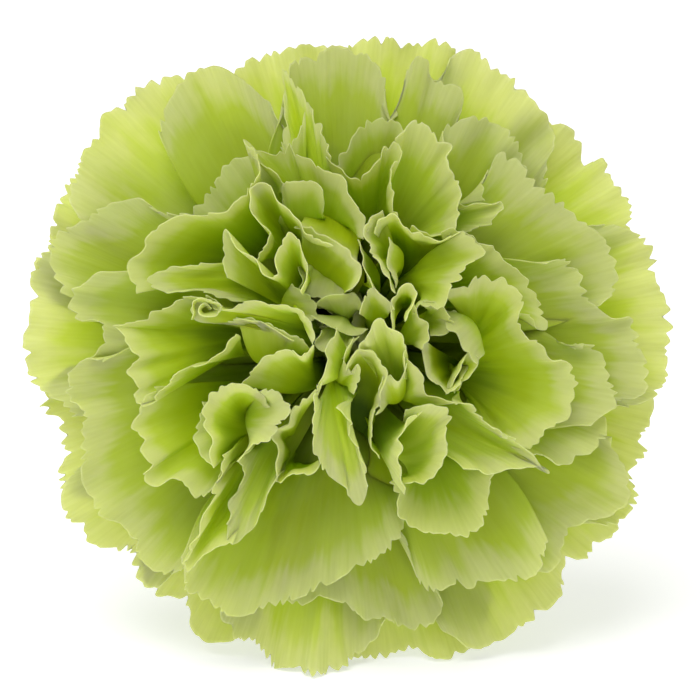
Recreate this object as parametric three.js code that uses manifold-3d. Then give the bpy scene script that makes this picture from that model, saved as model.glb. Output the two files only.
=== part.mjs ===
// A cut carnation, laid down: one fully open double bloom on a short stem.
//
// Units are millimetres and +Z is up. The flower rests on the rim of its
// lowest outer petals and on the cut end of its stem, so that the bloom faces
// -Y and a little upward. The bloom, the calyx and the stem are modelled in the
// flower's own frame: x to the right and y up as the bloom is seen from in
// front, h along the flower's axis towards the viewer. toRow() lays that frame
// down on the surface.

import * as THREE from "three";
import { mergeVertices } from "three/addons/utils/BufferGeometryUtils.js";
import Module from "manifold-3d";

const wasm = await Module();
wasm.setup();

// ---------------------------------------------------------------- driving sizes

const BLOOM_ACROSS = 78; // width of the open bloom
const BLADE = 0.9; // thickness of a petal along its middle
const CALYX_LENGTH = 30;
const CALYX_RADIUS = 7;
const STEM_RADIUS = 2.5;
const LEAF_LENGTH = 38;
const LEAN = THREE.MathUtils.degToRad(17); // tilt of the flower's axis off the surface
const FIT = 0.3; // gap between pieces that touch

// The petals' rims are given as they are seen from in front, in pixels of a
// 700 x 700 picture in which the bloom is 652 pixels wide, with the height of
// each point along the axis in millimetres.
const BLOOM_ACROSS_PX = 652;
const MM_PER_PX = BLOOM_ACROSS / BLOOM_ACROSS_PX;
const AXIS_PX = [347, 348]; // where the flower's axis meets the picture

// Heights along the axis, measured from the plane of the outer petals' rims.
const CALYX_MOUTH = -10; // tips of the calyx teeth
const TOOTH_LENGTH = 5;
const CALYX_FOOT = CALYX_MOUTH - CALYX_LENGTH;

// Place of the flower's own origin over the surface. Petals that would reach
// below the surface are pressed flat on it.
const ORIGIN = new THREE.Vector3(-0.25, -45.9, 37.2);

// ---------------------------------------------------------------- frames

const X = new THREE.Vector3(1, 0, 0);
const UP = new THREE.Vector3(0, Math.sin(LEAN), Math.cos(LEAN));
const AXIS = new THREE.Vector3(0, -Math.cos(LEAN), Math.sin(LEAN));

function toRow(p) {
  const q = ORIGIN.clone()
    .addScaledVector(X, p.x)
    .addScaledVector(UP, p.y)
    .addScaledVector(AXIS, p.z);
  q.z = Math.max(q.z, 0);
  return q;
}

const seen = ([px, py, h]) =>
  new THREE.Vector3((px - AXIS_PX[0]) * MM_PER_PX, (AXIS_PX[1] - py) * MM_PER_PX, h);

const mix = (a, b, t) => a + (b - a) * t;

const MERGE = 1e-4; // points closer than this are one point

// ---------------------------------------------------------------- petals

// Each kind of petal: where its claw starts in the core (radius and height),
// how far one side of the blade is raised over the other at the throat and at
// the rim, how its surface runs out to the rim (outward and upward share of the
// way from the throat), the ruffle's height and length of wave, the length of
// the cut teeth, and the grid of the blade, with its rim points per column.
const KINDS = {
  guard: {
    root: [4.2, -10], tilt: [0, 0.3], flare: [1.2, 0.5],
    ruffle: 0.5, wave: 9, tooth: 0.4, cols: 7, rows: [0.25, 0.65, 1], rimStep: 2,
  },
  second: {
    root: [4.2, -8.5], tilt: [1.4, 1.6], flare: [1.1, 0.7],
    ruffle: 0.4, wave: 9, tooth: 0.4, cols: 7, rows: [0.25, 0.65, 1], rimStep: 2,
  },
  inner: {
    root: [3.6, -6], tilt: [0, 0], flare: [0.8, 1.3],
    ruffle: 0.2, wave: 8, tooth: 0.3, cols: 6, rows: [0.35, 1], rimStep: 2,
  },
  heart: {
    root: [2.6, -2], tilt: [0, 0], flare: [0.7, 1.4],
    ruffle: 0, wave: 5, tooth: 0.2, cols: 6, rows: [0.35, 1], rimStep: 2,
  },
};

// name, kind, throat (the point that the blade opens from), width of the blade
// at the throat, rim
const PETALS = [
  // --- guard petals, the outermost ring, clockwise from the top
  ["guard_top_left", "guard", null, 8, [
    [236, 112, -2], [228, 76, -3], [250, 58, -4], [280, 47, -4], [312, 43, -4], [345, 45, -4],
    [370, 62, -3], [378, 98, -2],
  ]],
  ["guard_top", "guard", null, 8, [
    [340, 92, -3], [348, 52, -4], [358, 38, -5], [385, 35, -5], [413, 42, -5], [431, 36, -5],
    [452, 43, -4], [462, 64, -4], [454, 102, -3],
  ]],
  ["guard_top_right", "guard", null, 8, [
    [432, 96, -1], [445, 62, -2], [458, 52, -3], [474, 48, -3], [495, 66, -3], [520, 80, -3],
    [534, 100, -3], [552, 122, -3], [556, 150, -2], [538, 176, -1],
  ]],
  ["guard_right_high", "guard", null, 8, [
    [502, 132, -3], [532, 116, -4], [562, 123, -5], [582, 137, -5], [585, 158, -5], [606, 157, -5],
    [614, 178, -5], [628, 192, -5], [634, 220, -4], [624, 246, -4], [590, 262, -3],
  ]],
  ["guard_right", "guard", null, 8, [
    [592, 226, -1], [630, 228, -2], [647, 238, -3], [658, 256, -3], [656, 275, -3], [669, 300, -4],
    [674, 330, -4], [668, 352, -4], [669, 375, -3], [655, 398, -3], [620, 408, -2],
  ]],
  ["guard_right_low", "guard", null, 8, [
    [624, 378, -3], [650, 395, -4], [656, 408, -5], [650, 428, -5], [643, 440, -5], [650, 453, -5],
    [640, 464, -5], [633, 476, -5], [642, 497, -5], [631, 513, -4], [610, 530, -3], [575, 522, -2],
  ]],
  ["guard_low_right", "guard", null, 8, [
    [600, 500, -1], [618, 522, -2], [617, 536, -3], [598, 546, -3], [592, 557, -3], [576, 562, -3],
    [563, 571, -4], [566, 584, -4], [562, 599, -4], [548, 611, -4], [537, 620, -3], [522, 628, -3],
    [500, 643, -3], [472, 650, -3], [442, 630, -2],
  ]],
  ["guard_bottom_right", "guard", null, 8, [
    [492, 600, -3], [480, 640, -4], [462, 656, -5], [440, 660, -5], [412, 651, -5], [390, 658, -5],
    [373, 663, -5], [350, 657, -5], [330, 640, -4], [324, 608, -3],
  ]],
  ["guard_bottom", "guard", null, 8, [
    [388, 620, -1], [366, 650, -2], [346, 663, -2], [334, 671, -0.5], [310, 677, 1.8], [297, 669, 0],
    [270, 668, -1], [260, 655, -2], [250, 643, -3], [232, 638, -3], [222, 615, -2], [230, 588, -1],
  ]],
  ["guard_bottom_left", "guard", null, 8, [
    [264, 608, -3], [240, 640, -4], [216, 644, -5], [203, 644, -5], [190, 629, -5], [189, 612, -5],
    [176, 599, -5], [157, 597, -5], [143, 582, -4], [140, 560, -4], [152, 534, -3],
  ]],
  ["guard_low_left", "guard", null, 8, [
    [176, 570, -1], [150, 590, -2], [135, 579, -3], [130, 560, -3], [126, 549, -3], [105, 550, -4],
    [86, 543, -4], [82, 532, -4], [64, 516, -4], [60, 495, -3], [75, 470, -3], [105, 455, -2],
  ]],
  ["guard_left_low", "guard", null, 8, [
    [86, 500, -3], [60, 492, -4], [57, 472, -5], [64, 455, -5], [57, 440, -5], [57, 428, -5],
    [60, 419, -5], [45, 415, -5], [38, 405, -5], [42, 394, -4], [60, 370, -4], [96, 366, -3],
  ]],
  ["guard_left", "guard", null, 8, [
    [72, 415, -1], [48, 395, -2], [30, 380, -3], [24, 362, -4], [21, 340, -4], [28, 318, -4],
    [29, 295, -4], [30, 275, -4], [45, 248, -3], [75, 238, -3], [108, 258, -2],
  ]],
  ["guard_left_high", "guard", null, 8, [
    [52, 300, -3], [32, 268, -4], [46, 245, -5], [49, 228, -5], [53, 212, -5], [58, 195, -6],
    [66, 178, -6], [84, 164, -7], [104, 168, -7], [120, 190, -6],
  ]],
  ["guard_high_left", "guard", null, 8, [
    [88, 226, 2], [68, 200, 1], [74, 172, -1], [84, 148, -3], [98, 128, -4], [103, 113, -4],
    [122, 103, -4], [132, 88, -4], [155, 78, -3], [175, 74, -3], [190, 84, -3], [206, 110, -2],
  ]],
  // --- second ring, over the guard petals
  ["second_top", "second", null, 9, [
    [282, 110, 5], [283, 88, 4], [286, 68, 3], [303, 58, 2], [322, 52, 1], [332, 46, 0], [350, 49, 0],
    [366, 55, 1], [382, 76, 2], [388, 112, 3],
  ]],
  ["second_top_fold", "second", null, 9, [
    [398, 118, 4], [404, 76, 3], [414, 58, 2], [428, 60, 2], [432, 78, 2], [450, 82, 2], [463, 92, 2],
    [460, 114, 2], [444, 140, 2],
  ]],
  ["second_top_right", "second", null, 8, [
    [444, 172, 7], [447, 142, 6], [461, 122, 5], [480, 116, 4], [498, 124, 3], [516, 138, 3],
    [526, 164, 1], [516, 188, 0],
  ]],
  ["second_right_high", "second", null, 9, [
    [484, 202, 8], [488, 166, 7], [504, 153, 6], [520, 162, 5], [532, 177, 5], [547, 190, 5],
    [562, 200, 4], [573, 212, 4], [600, 234, 3], [613, 255, 2], [618, 282, 2], [600, 304, 3],
  ]],
  ["second_right", "second", null, 9, [
    [544, 266, 8], [564, 257, 7], [576, 268, 6], [586, 283, 6], [589, 300, 5], [602, 313, 4],
    [620, 317, 3], [636, 324, 2], [640, 346, 2], [649, 373, 1], [640, 396, 0], [606, 402, 0],
  ]],
  ["second_right_low", "second", null, 7, [
    [574, 350, 6], [590, 349, 6], [604, 362, 5], [612, 383, 5], [619, 400, 5], [612, 411, 5],
    [588, 420, 6],
  ]],
  ["second_low_right", "second", null, 7, [
    [590, 406, 3], [605, 417, 4], [606, 432, 6], [597, 446, 6], [580, 458, 6], [556, 456, 7],
    [530, 452, 8], [518, 440, 9],
  ]],
  ["second_low_right_back", "second", null, 9, [
    [604, 444, 3], [626, 470, 2], [630, 500, 1], [612, 515, 1], [592, 521, 1], [568, 533, 0],
    [562, 558, 0], [545, 573, -1], [524, 574, -1],
  ]],
  ["second_bottom_right", "second", null, 9, [
    [548, 540, 5], [538, 572, 4], [520, 581, 3], [490, 581, 3], [470, 589, 3], [455, 584, 3],
    [437, 591, 3], [420, 587, 3], [410, 562, 4], [404, 532, 5],
  ]],
  ["second_bottom_back", "second", null, 9, [
    [268, 590, 2], [290, 602, 2], [297, 607, 2], [320, 598, 2], [336, 601, 2], [350, 612, 1],
    [368, 621, 0], [385, 619, 0], [410, 631, -1], [430, 625, -1], [442, 612, -1], [442, 588, 0],
    [428, 556, 2],
  ]],
  ["second_bottom_left", "second", null, 11, [
    [180, 556, 6], [188, 594, 4], [208, 602, 4], [228, 615, 4], [245, 616, 4], [262, 609, 4],
    [290, 601, 5], [320, 589, 5], [350, 572, 6], [382, 556, 7], [402, 541, 8], [404, 524, 8],
    [397, 504, 9],
  ]],
  ["second_left_low", "second", null, 11, [
    [104, 362, 6], [68, 372, 4], [70, 385, 4], [67, 400, 3], [81, 408, 3], [81, 440, 3], [81, 475, 2],
    [88, 495, 2], [103, 517, 2], [122, 524, 2], [142, 560, 2], [166, 576, 3], [192, 566, 5],
  ]],
  ["second_left", "second", null, 8, [
    [86, 382, 2], [76, 372, 3], [86, 360, 5], [98, 349, 6], [105, 333, 6], [94, 322, 5], [76, 318, 4],
    [68, 300, 3], [78, 286, 4], [104, 278, 6],
  ]],
  ["second_left_high", "second", null, 9, [
    [62, 292, 3], [50, 262, 2], [50, 236, 1], [75, 226, 2], [98, 209, 3], [122, 201, 4], [148, 199, 5],
    [175, 212, 6], [195, 205, 6], [214, 184, 6], [230, 160, 6], [256, 160, 8],
  ]],
  ["second_high_left", "second", null, 8, [
    [158, 132, 3], [172, 94, 1], [190, 71, 0], [222, 67, 0], [245, 83, 1], [265, 105, 2], [283, 124, 3],
    [298, 142, 4], [308, 160, 5],
  ]],
  // --- folded and cupped petals inside the two rings
  ["inner_high_left", "inner", [270, 258, 4], 6, [
    [142, 294, 10], [133, 278, 9], [133, 262, 9], [148, 250, 10], [153, 237, 11], [166, 227, 12],
    [187, 220, 13], [212, 218, 14], [236, 209, 15], [251, 193, 16], [261, 177, 16], [257, 160, 15],
    [246, 145, 13],
  ]],
  ["inner_left_tongue", "inner", [268, 290, 11], 4, [
    [206, 262, 14], [172, 271, 12], [152, 280, 11], [158, 288, 11], [185, 293, 12], [211, 292, 13],
    [241, 302, 15],
  ]],
  ["inner_left_trough", "inner", [262, 338, 4], 4, [
    [229, 312, 16], [208, 298, 13], [185, 303, 12], [165, 312, 11], [145, 321, 10], [118, 326, 9],
    [124, 331, 9], [133, 346, 10], [141, 358, 11], [133, 371, 11], [139, 380, 11], [138, 398, 11],
    [150, 405, 12], [166, 387, 13], [185, 371, 15], [205, 364, 16], [222, 352, 17], [240, 335, 19],
  ]],
  ["inner_left_low", "inner", [268, 395, 4], 5, [
    [160, 386, 12], [150, 398, 12], [141, 412, 11], [138, 428, 11], [149, 436, 11], [146, 449, 11],
    [156, 464, 11], [147, 472, 10], [153, 480, 10], [172, 477, 11], [190, 482, 11], [202, 495, 11],
    [212, 488, 12], [222, 468, 14],
  ]],
  ["inner_low_left_bowl", "inner", [257, 418, 8], 4, [
    [217, 463, 15], [218, 450, 16], [217, 436, 17], [211, 428, 17], [208, 415, 18], [212, 398, 18],
    [219, 390, 19], [236, 384, 20], [250, 388, 20], [262, 398, 19], [269, 408, 18],
  ]],
  ["inner_low_left_turn", "inner", [248, 418, 12], 5, [
    [256, 390, 19], [274, 392, 20], [284, 400, 20], [286, 411, 20], [280, 422, 19], [268, 433, 18],
    [250, 446, 17], [239, 456, 16],
  ]],
  ["inner_low_left_back", "inner", [256, 416, 6], 3, [
    [208, 402, 13], [204, 418, 13], [198, 430, 13], [200, 444, 13], [208, 457, 13], [218, 462, 14],
  ]],
  ["inner_low_left_lobe", "inner", [274, 450, 10], 4, [
    [243, 458, 15], [248, 467, 14], [248, 477, 13], [240, 486, 12], [232, 499, 12], [234, 510, 12],
    [229, 521, 11], [230, 530, 11], [234, 540, 10], [244, 534, 10], [256, 520, 11], [264, 505, 12],
    [270, 489, 13], [277, 470, 14],
  ]],
  ["inner_low_left_point", "inner", [272, 430, 6], 3, [
    [229, 452, 16], [223, 475, 14], [213, 498, 13], [204, 520, 12], [194, 545, 10], [186, 562, 9],
    [190, 567, 9], [200, 557, 9], [215, 546, 10], [234, 538, 11],
  ]],
  ["inner_bottom_hollow", "inner", [308, 432, -2], 3, [
    [321, 385, 22], [312, 395, 21], [303, 405, 20], [290, 420, 18], [279, 431, 17], [281, 442, 16],
    [282, 457, 15], [278, 480, 13], [290, 473, 14], [302, 469, 15], [314, 466, 15], [322, 462, 16],
  ]],
  ["inner_bottom_tongue", "inner", [334, 392, 17], 4, [
    [322, 386, 22], [318, 398, 21], [314, 415, 20], [315, 435, 18], [317, 452, 17], [321, 462, 16],
    [333, 474, 15], [347, 484, 14], [352, 498, 13], [360, 500, 13], [366, 485, 14], [364, 465, 16],
    [358, 450, 17], [351, 432, 19], [349, 420, 20], [343, 409, 21], [336, 402, 21],
  ]],
  ["inner_low_right_bowl", "inner", [395, 450, 8], 4, [
    [404, 414, 18], [412, 410, 19], [422, 408, 20], [434, 407, 20], [447, 411, 19], [445, 426, 18],
    [439, 440, 18], [441, 452, 17], [438, 464, 16], [429, 474, 15], [416, 478, 15], [402, 481, 14],
  ]],
  ["inner_low_right_roll", "inner", [387, 444, 14], 6, [
    [417, 411, 20], [407, 419, 20], [401, 430, 20], [397, 442, 19.5], [396, 454, 18.5],
    [398, 466, 17.5], [401, 478, 16], [404, 488, 14],
  ]],
  ["inner_bottom_right", "inner", [424, 450, 4], 5, [
    [392, 478, 13], [397, 492, 12], [401, 508, 11], [412, 521, 10], [424, 527, 10], [436, 528, 10],
    [448, 531, 9], [463, 533, 9], [478, 524, 9], [485, 508, 10], [487, 490, 10], [488, 474, 11],
    [498, 464, 12],
  ]],
  ["inner_low_right", "inner", [430, 405, 10], 6, [
    [450, 404, 18], [467, 403, 17], [474, 413, 16], [487, 425, 15], [496, 429, 14], [497, 438, 13],
    [512, 437, 13], [522, 448, 12], [532, 459, 11], [544, 470, 10], [528, 464, 11], [508, 466, 12],
    [486, 468, 13], [460, 464, 15],
  ]],
  ["inner_right", "inner", [450, 365, 5], 6, [
    [446, 298, 18], [465, 287, 17], [485, 281, 16], [500, 281, 16], [504, 289, 16], [513, 294, 16],
    [518, 306, 15], [513, 322, 14], [520, 337, 13], [531, 341, 12], [545, 357, 11], [562, 363, 10],
    [573, 386, 9], [567, 398, 9], [565, 412, 9], [556, 422, 9], [541, 428, 10], [533, 441, 10],
    [522, 447, 11], [500, 441, 11], [478, 426, 11], [462, 408, 10],
  ]],
  ["inner_right_arm", "inner", [450, 290, 10], 4, [
    [440, 236, 16], [460, 236, 15], [482, 249, 14], [500, 262, 13], [515, 274, 12], [526, 286, 12],
    [534, 302, 11], [541, 318, 11], [541, 329, 11], [533, 328, 11], [526, 314, 12],
  ]],
  ["inner_high_right_tongue", "inner", [412, 283, 13], 4, [
    [459, 234, 16], [474, 246, 16], [481, 257, 16], [472, 263, 16], [460, 268, 17], [455, 280, 18],
    [445, 288, 19], [441, 300, 19], [436, 306, 19], [420, 304, 20], [412, 310, 21],
  ]],
  ["inner_high_right", "inner", [394, 248, 4], 5, [
    [396, 146, 12], [413, 126, 10], [427, 132, 10], [435, 147, 11], [446, 150, 11], [447, 172, 12],
    [454, 177, 12], [455, 200, 13], [452, 220, 14], [449, 233, 15], [430, 237, 16], [408, 232, 17],
  ]],
  ["inner_top_fold", "inner", [372, 232, 6], 3, [
    [328, 163, 13], [338, 170, 13], [347, 180, 14], [358, 183, 14], [370, 178, 14], [378, 165, 13],
    [386, 149, 12], [395, 148, 12], [398, 160, 13], [392, 168, 14], [391, 186, 16], [389, 205, 17],
    [396, 221, 18],
  ]],
  ["inner_top_arch", "inner", [374, 200, 2], 5, [
    [341, 180, 9], [341, 160, 8], [352, 145, 7], [362, 130, 6], [375, 121, 5], [390, 124, 5],
    [402, 134, 5], [408, 150, 5], [410, 178, 6],
  ]],
  ["inner_top_left_blade", "inner", [316, 190, 9], 3, [
    [284, 152, 9], [287, 128, 7], [285, 100, 5], [284, 72, 4], [296, 88, 5], [304, 98, 6],
    [311, 113, 7], [319, 130, 9], [325, 146, 11], [328, 163, 13],
  ]],
  ["inner_top_left", "inner", [296, 200, 9], 3, [
    [306, 118, 9], [296, 140, 10], [290, 150, 11], [276, 157, 11], [260, 156, 11], [246, 145, 12],
    [262, 166, 14], [278, 177, 15], [288, 189, 16],
  ]],
  ["inner_top_left_cup", "inner", [303, 234, 12], 5, [
    [287, 214, 14], [285, 200, 15], [286, 189, 16], [300, 188, 17], [318, 190, 17], [321, 203, 17],
    [320, 216, 16],
  ]],
  ["inner_top_band", "inner", [330, 232, 11], 3, [
    [295, 149, 12], [303, 161, 13], [320, 170, 15], [334, 178, 16], [343, 186, 17], [347, 200, 18],
    [355, 212, 19], [364, 226, 20], [361, 241, 21],
  ]],
  ["inner_right_tab", "inner", [446, 224, 7], 3, [
    [453, 209, 9], [466, 206, 10], [484, 208, 10], [497, 205, 9], [494, 216, 10], [478, 227, 10],
    [458, 234, 10],
  ]],
  ["inner_right_roll", "inner", [470, 322, 13], 6, [
    [436, 315, 16], [444, 322, 17], [450, 331, 18], [457, 332, 18], [461, 343, 18], [466, 353, 18],
    [474, 361, 17],
  ]],
  // --- small crumpled petals of the heart
  ["heart_high_hood", "heart", [350, 206, 6], 4, [
    [299, 227, 17], [310, 236, 18], [322, 241, 18], [336, 248, 19], [348, 257, 20], [357, 262, 20],
  ]],
  ["heart_high_left_fold", "heart", [302, 260, 8], 3, [
    [259, 263, 18], [268, 250, 18], [274, 236, 18], [266, 229, 18], [255, 217, 17], [252, 203, 17],
    [256, 192, 16], [263, 188, 16], [272, 192, 17], [280, 205, 18], [292, 218, 19], [303, 232, 20],
    [315, 242, 21], [329, 251, 22],
  ]],
  ["heart_high_arch", "heart", [318, 298, 11], 4, [
    [303, 231, 19], [320, 238, 20], [334, 246, 21], [347, 256, 22], [356, 268, 23], [359, 277, 23],
    [354, 286, 23], [346, 291, 22],
  ]],
  ["heart_left_crest", "heart", [308, 304, 11], 4, [
    [232, 280, 15], [227, 262, 15], [229, 234, 16], [236, 243, 17], [245, 252, 18], [257, 263, 19],
    [268, 276, 20], [280, 277, 21], [281, 262, 21], [284, 245, 21], [290, 237, 21], [297, 242, 21],
    [302, 256, 22], [308, 270, 22], [306, 284, 22], [303, 296, 22],
  ]],
  ["heart_left_roll", "heart", [300, 328, 17], 5, [
    [297, 337, 20], [277, 328, 19], [258, 320, 18], [240, 319, 17], [222, 324, 15], [200, 319, 14],
    [197, 308, 15], [206, 301, 16], [222, 312, 17], [235, 309, 18], [255, 304, 19], [272, 306, 20],
    [290, 308, 21], [303, 315, 22], [313, 329, 22], [312, 343, 22],
  ]],
  ["heart_low_left", "heart", [312, 380, 14], 4, [
    [243, 384, 17], [253, 375, 18], [262, 365, 19], [272, 357, 20], [288, 352, 21], [302, 356, 22],
    [315, 348, 23],
  ]],
  ["heart_low_strip", "heart", [346, 372, 16], 3, [
    [338, 331, 22], [331, 345, 22], [329, 360, 22], [325, 374, 22], [321, 386, 21],
  ]],
  ["heart_bottom_hood", "heart", [354, 418, -3], 4, [
    [346, 372, 21], [350, 363, 22], [354, 356, 22], [361, 351, 22], [368, 351, 22], [375, 356, 22],
    [380, 364, 22], [383, 374, 22], [382, 386, 21], [377, 399, 20], [371, 413, 19], [369, 429, 18],
    [371, 443, 17], [378, 456, 16],
  ]],
  ["heart_centre_cup", "heart", [397, 388, 13], 3, [
    [361, 352, 22], [363, 344, 22], [366, 336, 23], [370, 329, 23], [374, 324, 24], [380, 324, 24],
    [386, 328, 24], [393, 332, 24], [400, 337, 24], [405, 346, 23], [404, 360, 22], [401, 377, 21],
  ]],
  ["heart_right_loop", "heart", [402, 311, 9], 2, [
    [390, 331, 23], [394, 315, 23], [393, 300, 23], [399, 291, 23], [407, 289, 23], [413, 297, 23],
    [410, 308, 23], [403, 319, 23],
  ]],
  ["heart_right_chip", "heart", [424, 320, 14], 2, [
    [422, 306, 19], [434, 306, 18], [443, 315, 18], [450, 323, 17], [445, 332, 17], [428, 334, 17],
  ]],
  ["heart_right_well", "heart", [448, 352, 0], 4, [
    [426, 342, 19], [424, 355, 19], [427, 368, 19], [431, 379, 19], [441, 384, 18], [447, 391, 18],
    [456, 381, 17], [464, 366, 15], [469, 352, 13], [470, 338, 12], [466, 325, 12], [459, 317, 13],
    [451, 315, 14], [445, 321, 16],
  ]],
  ["heart_low_right", "heart", [404, 394, 15], 3, [
    [404, 362, 21], [413, 368, 21], [419, 380, 20], [422, 394, 19], [436, 397, 19], [450, 403, 18],
  ]],
  ["heart_high_bowl", "heart", [407, 264, 7], 5, [
    [377, 238, 20], [379, 226, 20], [385, 219, 20], [392, 218, 20], [398, 223, 20], [402, 231, 20],
    [409, 236, 19], [419, 238, 18], [431, 243, 18], [443, 242, 17], [458, 235, 16],
  ]],
  ["heart_high_hook", "heart", [388, 262, 14], 2, [
    [382, 216, 19], [372, 221, 20], [367, 235, 21], [371, 250, 22], [378, 263, 23], [386, 275, 23],
    [394, 291, 23],
  ]],
  ["heart_centre_loop", "heart", [376, 322, 17], 2, [
    [362, 316, 22], [366, 302, 22], [374, 292, 23], [384, 301, 23], [389, 313, 23],
  ]],
  ["heart_centre_high", "heart", [346, 315, 15], 3, [
    [316, 306, 18], [330, 298, 19], [345, 297, 19], [353, 293, 19], [360, 305, 19], [362, 318, 19],
  ]],
  ["heart_centre_low", "heart", [344, 319, 15], 3, [
    [312, 318, 19], [326, 324, 19], [340, 330, 19], [354, 333, 19], [366, 328, 20],
  ]],
  ["heart_low_zigzag", "heart", [340, 382, 16], 2, [
    [353, 341, 22], [346, 354, 22], [345, 366, 21], [351, 375, 21], [355, 366, 22], [358, 378, 21],
    [352, 392, 20],
  ]],
  ["heart_low_right_chip", "heart", [394, 402, 15], 2, [
    [378, 412, 19], [382, 396, 20], [383, 380, 21], [390, 377, 21], [397, 382, 21], [402, 379, 21],
    [404, 366, 22],
  ]],
  ["heart_right_edge", "heart", [404, 340, 16], 2, [
    [412, 304, 22], [415, 316, 21], [424, 328, 20], [425, 338, 20], [417, 348, 20],
  ]],
  ["heart_right_scroll", "heart", [446, 372, 10], 2, [
    [444, 390, 17], [454, 372, 17], [460, 360, 17], [468, 352, 17], [474, 361, 16], [465, 376, 16],
    [452, 391, 16],
  ]],
  ["heart_high_edge", "heart", [372, 286, 15], 2, [
    [359, 245, 21], [363, 257, 22], [364, 270, 23], [369, 281, 23], [374, 292, 23],
  ]],
  ["heart_high_right_edge", "heart", [400, 270, 14], 2, [
    [388, 243, 20], [390, 256, 21], [391, 270, 22], [396, 286, 22],
  ]],
];

// Throats of the two outer rings: share of the way to the middle of the rim,
// height, and how far they rise and fall with their rims round a middling one.
const RING_THROAT = { guard: [0.36, -1.5, 0.6], second: [0.38, 3, 0] };
const MIDDLING_RIM = -3.5;
const THROAT_BOW = 0.25; // how far the ends of a throat bend towards the rim, of its width

// A petal's mid-surface, from its throat (v = 0) to its rim (v = 1), and the
// point that its claw grows from.
function petalBlade([, kindName, throatPx, throatWidth, rimPx]) {
  const kind = KINDS[kindName];
  const rimPoints = rimPx.map(seen);
  const rim = new THREE.CatmullRomCurve3(rimPoints, false, "centripetal");
  const centre = rimPoints
    .reduce((sum, p) => sum.add(p), new THREE.Vector3())
    .divideScalar(rimPoints.length);

  let throat;
  if (throatPx) {
    throat = seen(throatPx);
  } else {
    const [share, height, follow] = RING_THROAT[kindName];
    const raised = follow * (centre.z - MIDDLING_RIM);
    throat = new THREE.Vector3(centre.x * share, centre.y * share, height + raised);
  }

  const out = new THREE.Vector3(throat.x, throat.y, 0);
  if (out.length() < 1) out.set(centre.x, centre.y, 0);
  out.normalize();
  const facing = new THREE.Vector3(centre.x - throat.x, centre.y - throat.y, 0);
  if (facing.length() < 1) facing.copy(out);
  facing.normalize();
  const across = new THREE.Vector3(-facing.y, facing.x, 0);

  // The rim runs clockwise or anticlockwise round the throat: the throat and
  // the claw are laid out the same way.
  let turn = 0;
  for (let i = 1; i < rimPoints.length; i++) {
    const a = rimPoints[i - 1].clone().sub(throat);
    const b = rimPoints[i].clone().sub(throat);
    turn += a.x * b.y - a.y * b.x;
  }
  if (turn < 0) across.negate();
  const tilt = kind.tilt.map((height) => (turn < 0 ? height : -height));

  const root = new THREE.Vector3(out.x * kind.root[0], out.y * kind.root[0], kind.root[1]);
  const waves = Math.max(1, Math.round(rim.getLength() / kind.wave));
  const [flareOut, flareUp] = kind.flare;
  const flare = new THREE.Vector3(flareOut, flareOut, flareUp);

  const at = (t, v) => {
    const from = throat.clone().addScaledVector(across, throatWidth * (t - 0.5));
    from.addScaledVector(facing, throatWidth * THROAT_BOW * (2 * t - 1) ** 2);
    from.z += tilt[0] * (t - 0.5);
    const to = rim.getPointAt(t);
    to.z += tilt[1] * (t - 0.5);
    const blade = to.clone().sub(from);
    const onward = from.clone().sub(root).normalize().add(blade.clone().normalize());
    onward.setLength(blade.length() / 3);
    const leaving = from.clone().add(onward);
    const arriving = to.clone().sub(blade.multiply(flare).divideScalar(3));
    const p = new THREE.CubicBezierCurve3(from, leaving, arriving, to).getPoint(v);
    p.z += kind.ruffle * v ** 2 * Math.sin(2 * Math.PI * waves * t + centre.x + centre.y);
    return p;
  };
  return { root, at };
}

// A closed blade, thickest along its middle and drawn out to a fine edge all
// round: the inner points of the mid-surface's grid stand half the thickness to
// either side, the border points are shared, and both faces are cut into the
// same triangles. The claw is a single point, deep in the core. Every other
// point of the rim is drawn in, as the teeth of the cut margin.
function petalSolid(petal) {
  const kind = KINDS[petal[1]];
  const { root, at } = petalBlade(petal);
  const { cols, rows, rimStep } = kind;
  const points = [root];
  const inside = [false];
  const starts = rows.map((v, i) => {
    const start = points.length;
    const atRim = i === rows.length - 1;
    const n = atRim ? cols * rimStep : cols;
    for (let j = 0; j <= n; j++) {
      const p = at(j / n, v);
      if (atRim) {
        const outward = p.clone().sub(at(j / n, 0.95)).setLength(kind.tooth);
        p.addScaledVector(outward, j % 2 === 0 ? 1 : -1);
      }
      points.push(p);
      inside.push(!atRim && j > 0 && j < n);
    }
    return start;
  });

  // Every triangle has an inner point, so that the two faces part everywhere.
  const faces = [];
  for (let j = 0; j < cols; j++) faces.push([0, 1 + j, 2 + j]);
  for (let i = 1; i < rows.length; i++) {
    const step = i === rows.length - 1 ? rimStep : 1;
    for (let j = 0; j < cols; j++) {
      const a = starts[i - 1] + j;
      const chain = Array.from({ length: step + 1 }, (_, k) => starts[i] + j * step + k);
      const change = j === 0 ? 0 : j === cols - 1 ? step : Math.ceil(step / 2);
      for (let k = 0; k < step; k++) {
        faces.push([k < change ? a : a + 1, chain[k], chain[k + 1]]);
      }
      faces.push([a, chain[change], a + 1]);
    }
  }

  const normals = points.map(() => new THREE.Vector3());
  for (const [a, b, c] of faces) {
    const n = points[b].clone().sub(points[a]).cross(points[c].clone().sub(points[a]));
    n.normalize();
    for (const v of [a, b, c]) normals[v].add(n);
  }

  const solidPoints = points.map((p, i) =>
    inside[i] ? p.clone().addScaledVector(normals[i].normalize(), BLADE / 2) : p,
  );
  const under = points.map((p, i) => {
    if (!inside[i]) return i;
    solidPoints.push(p.clone().addScaledVector(normals[i], -BLADE / 2));
    return solidPoints.length - 1;
  });
  const triangles = faces.flatMap(([a, b, c]) => [[a, b, c], [under[a], under[c], under[b]]]);
  return toManifold(solidPoints.map(toRow), triangles);
}

// ---------------------------------------------------------------- solids

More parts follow.
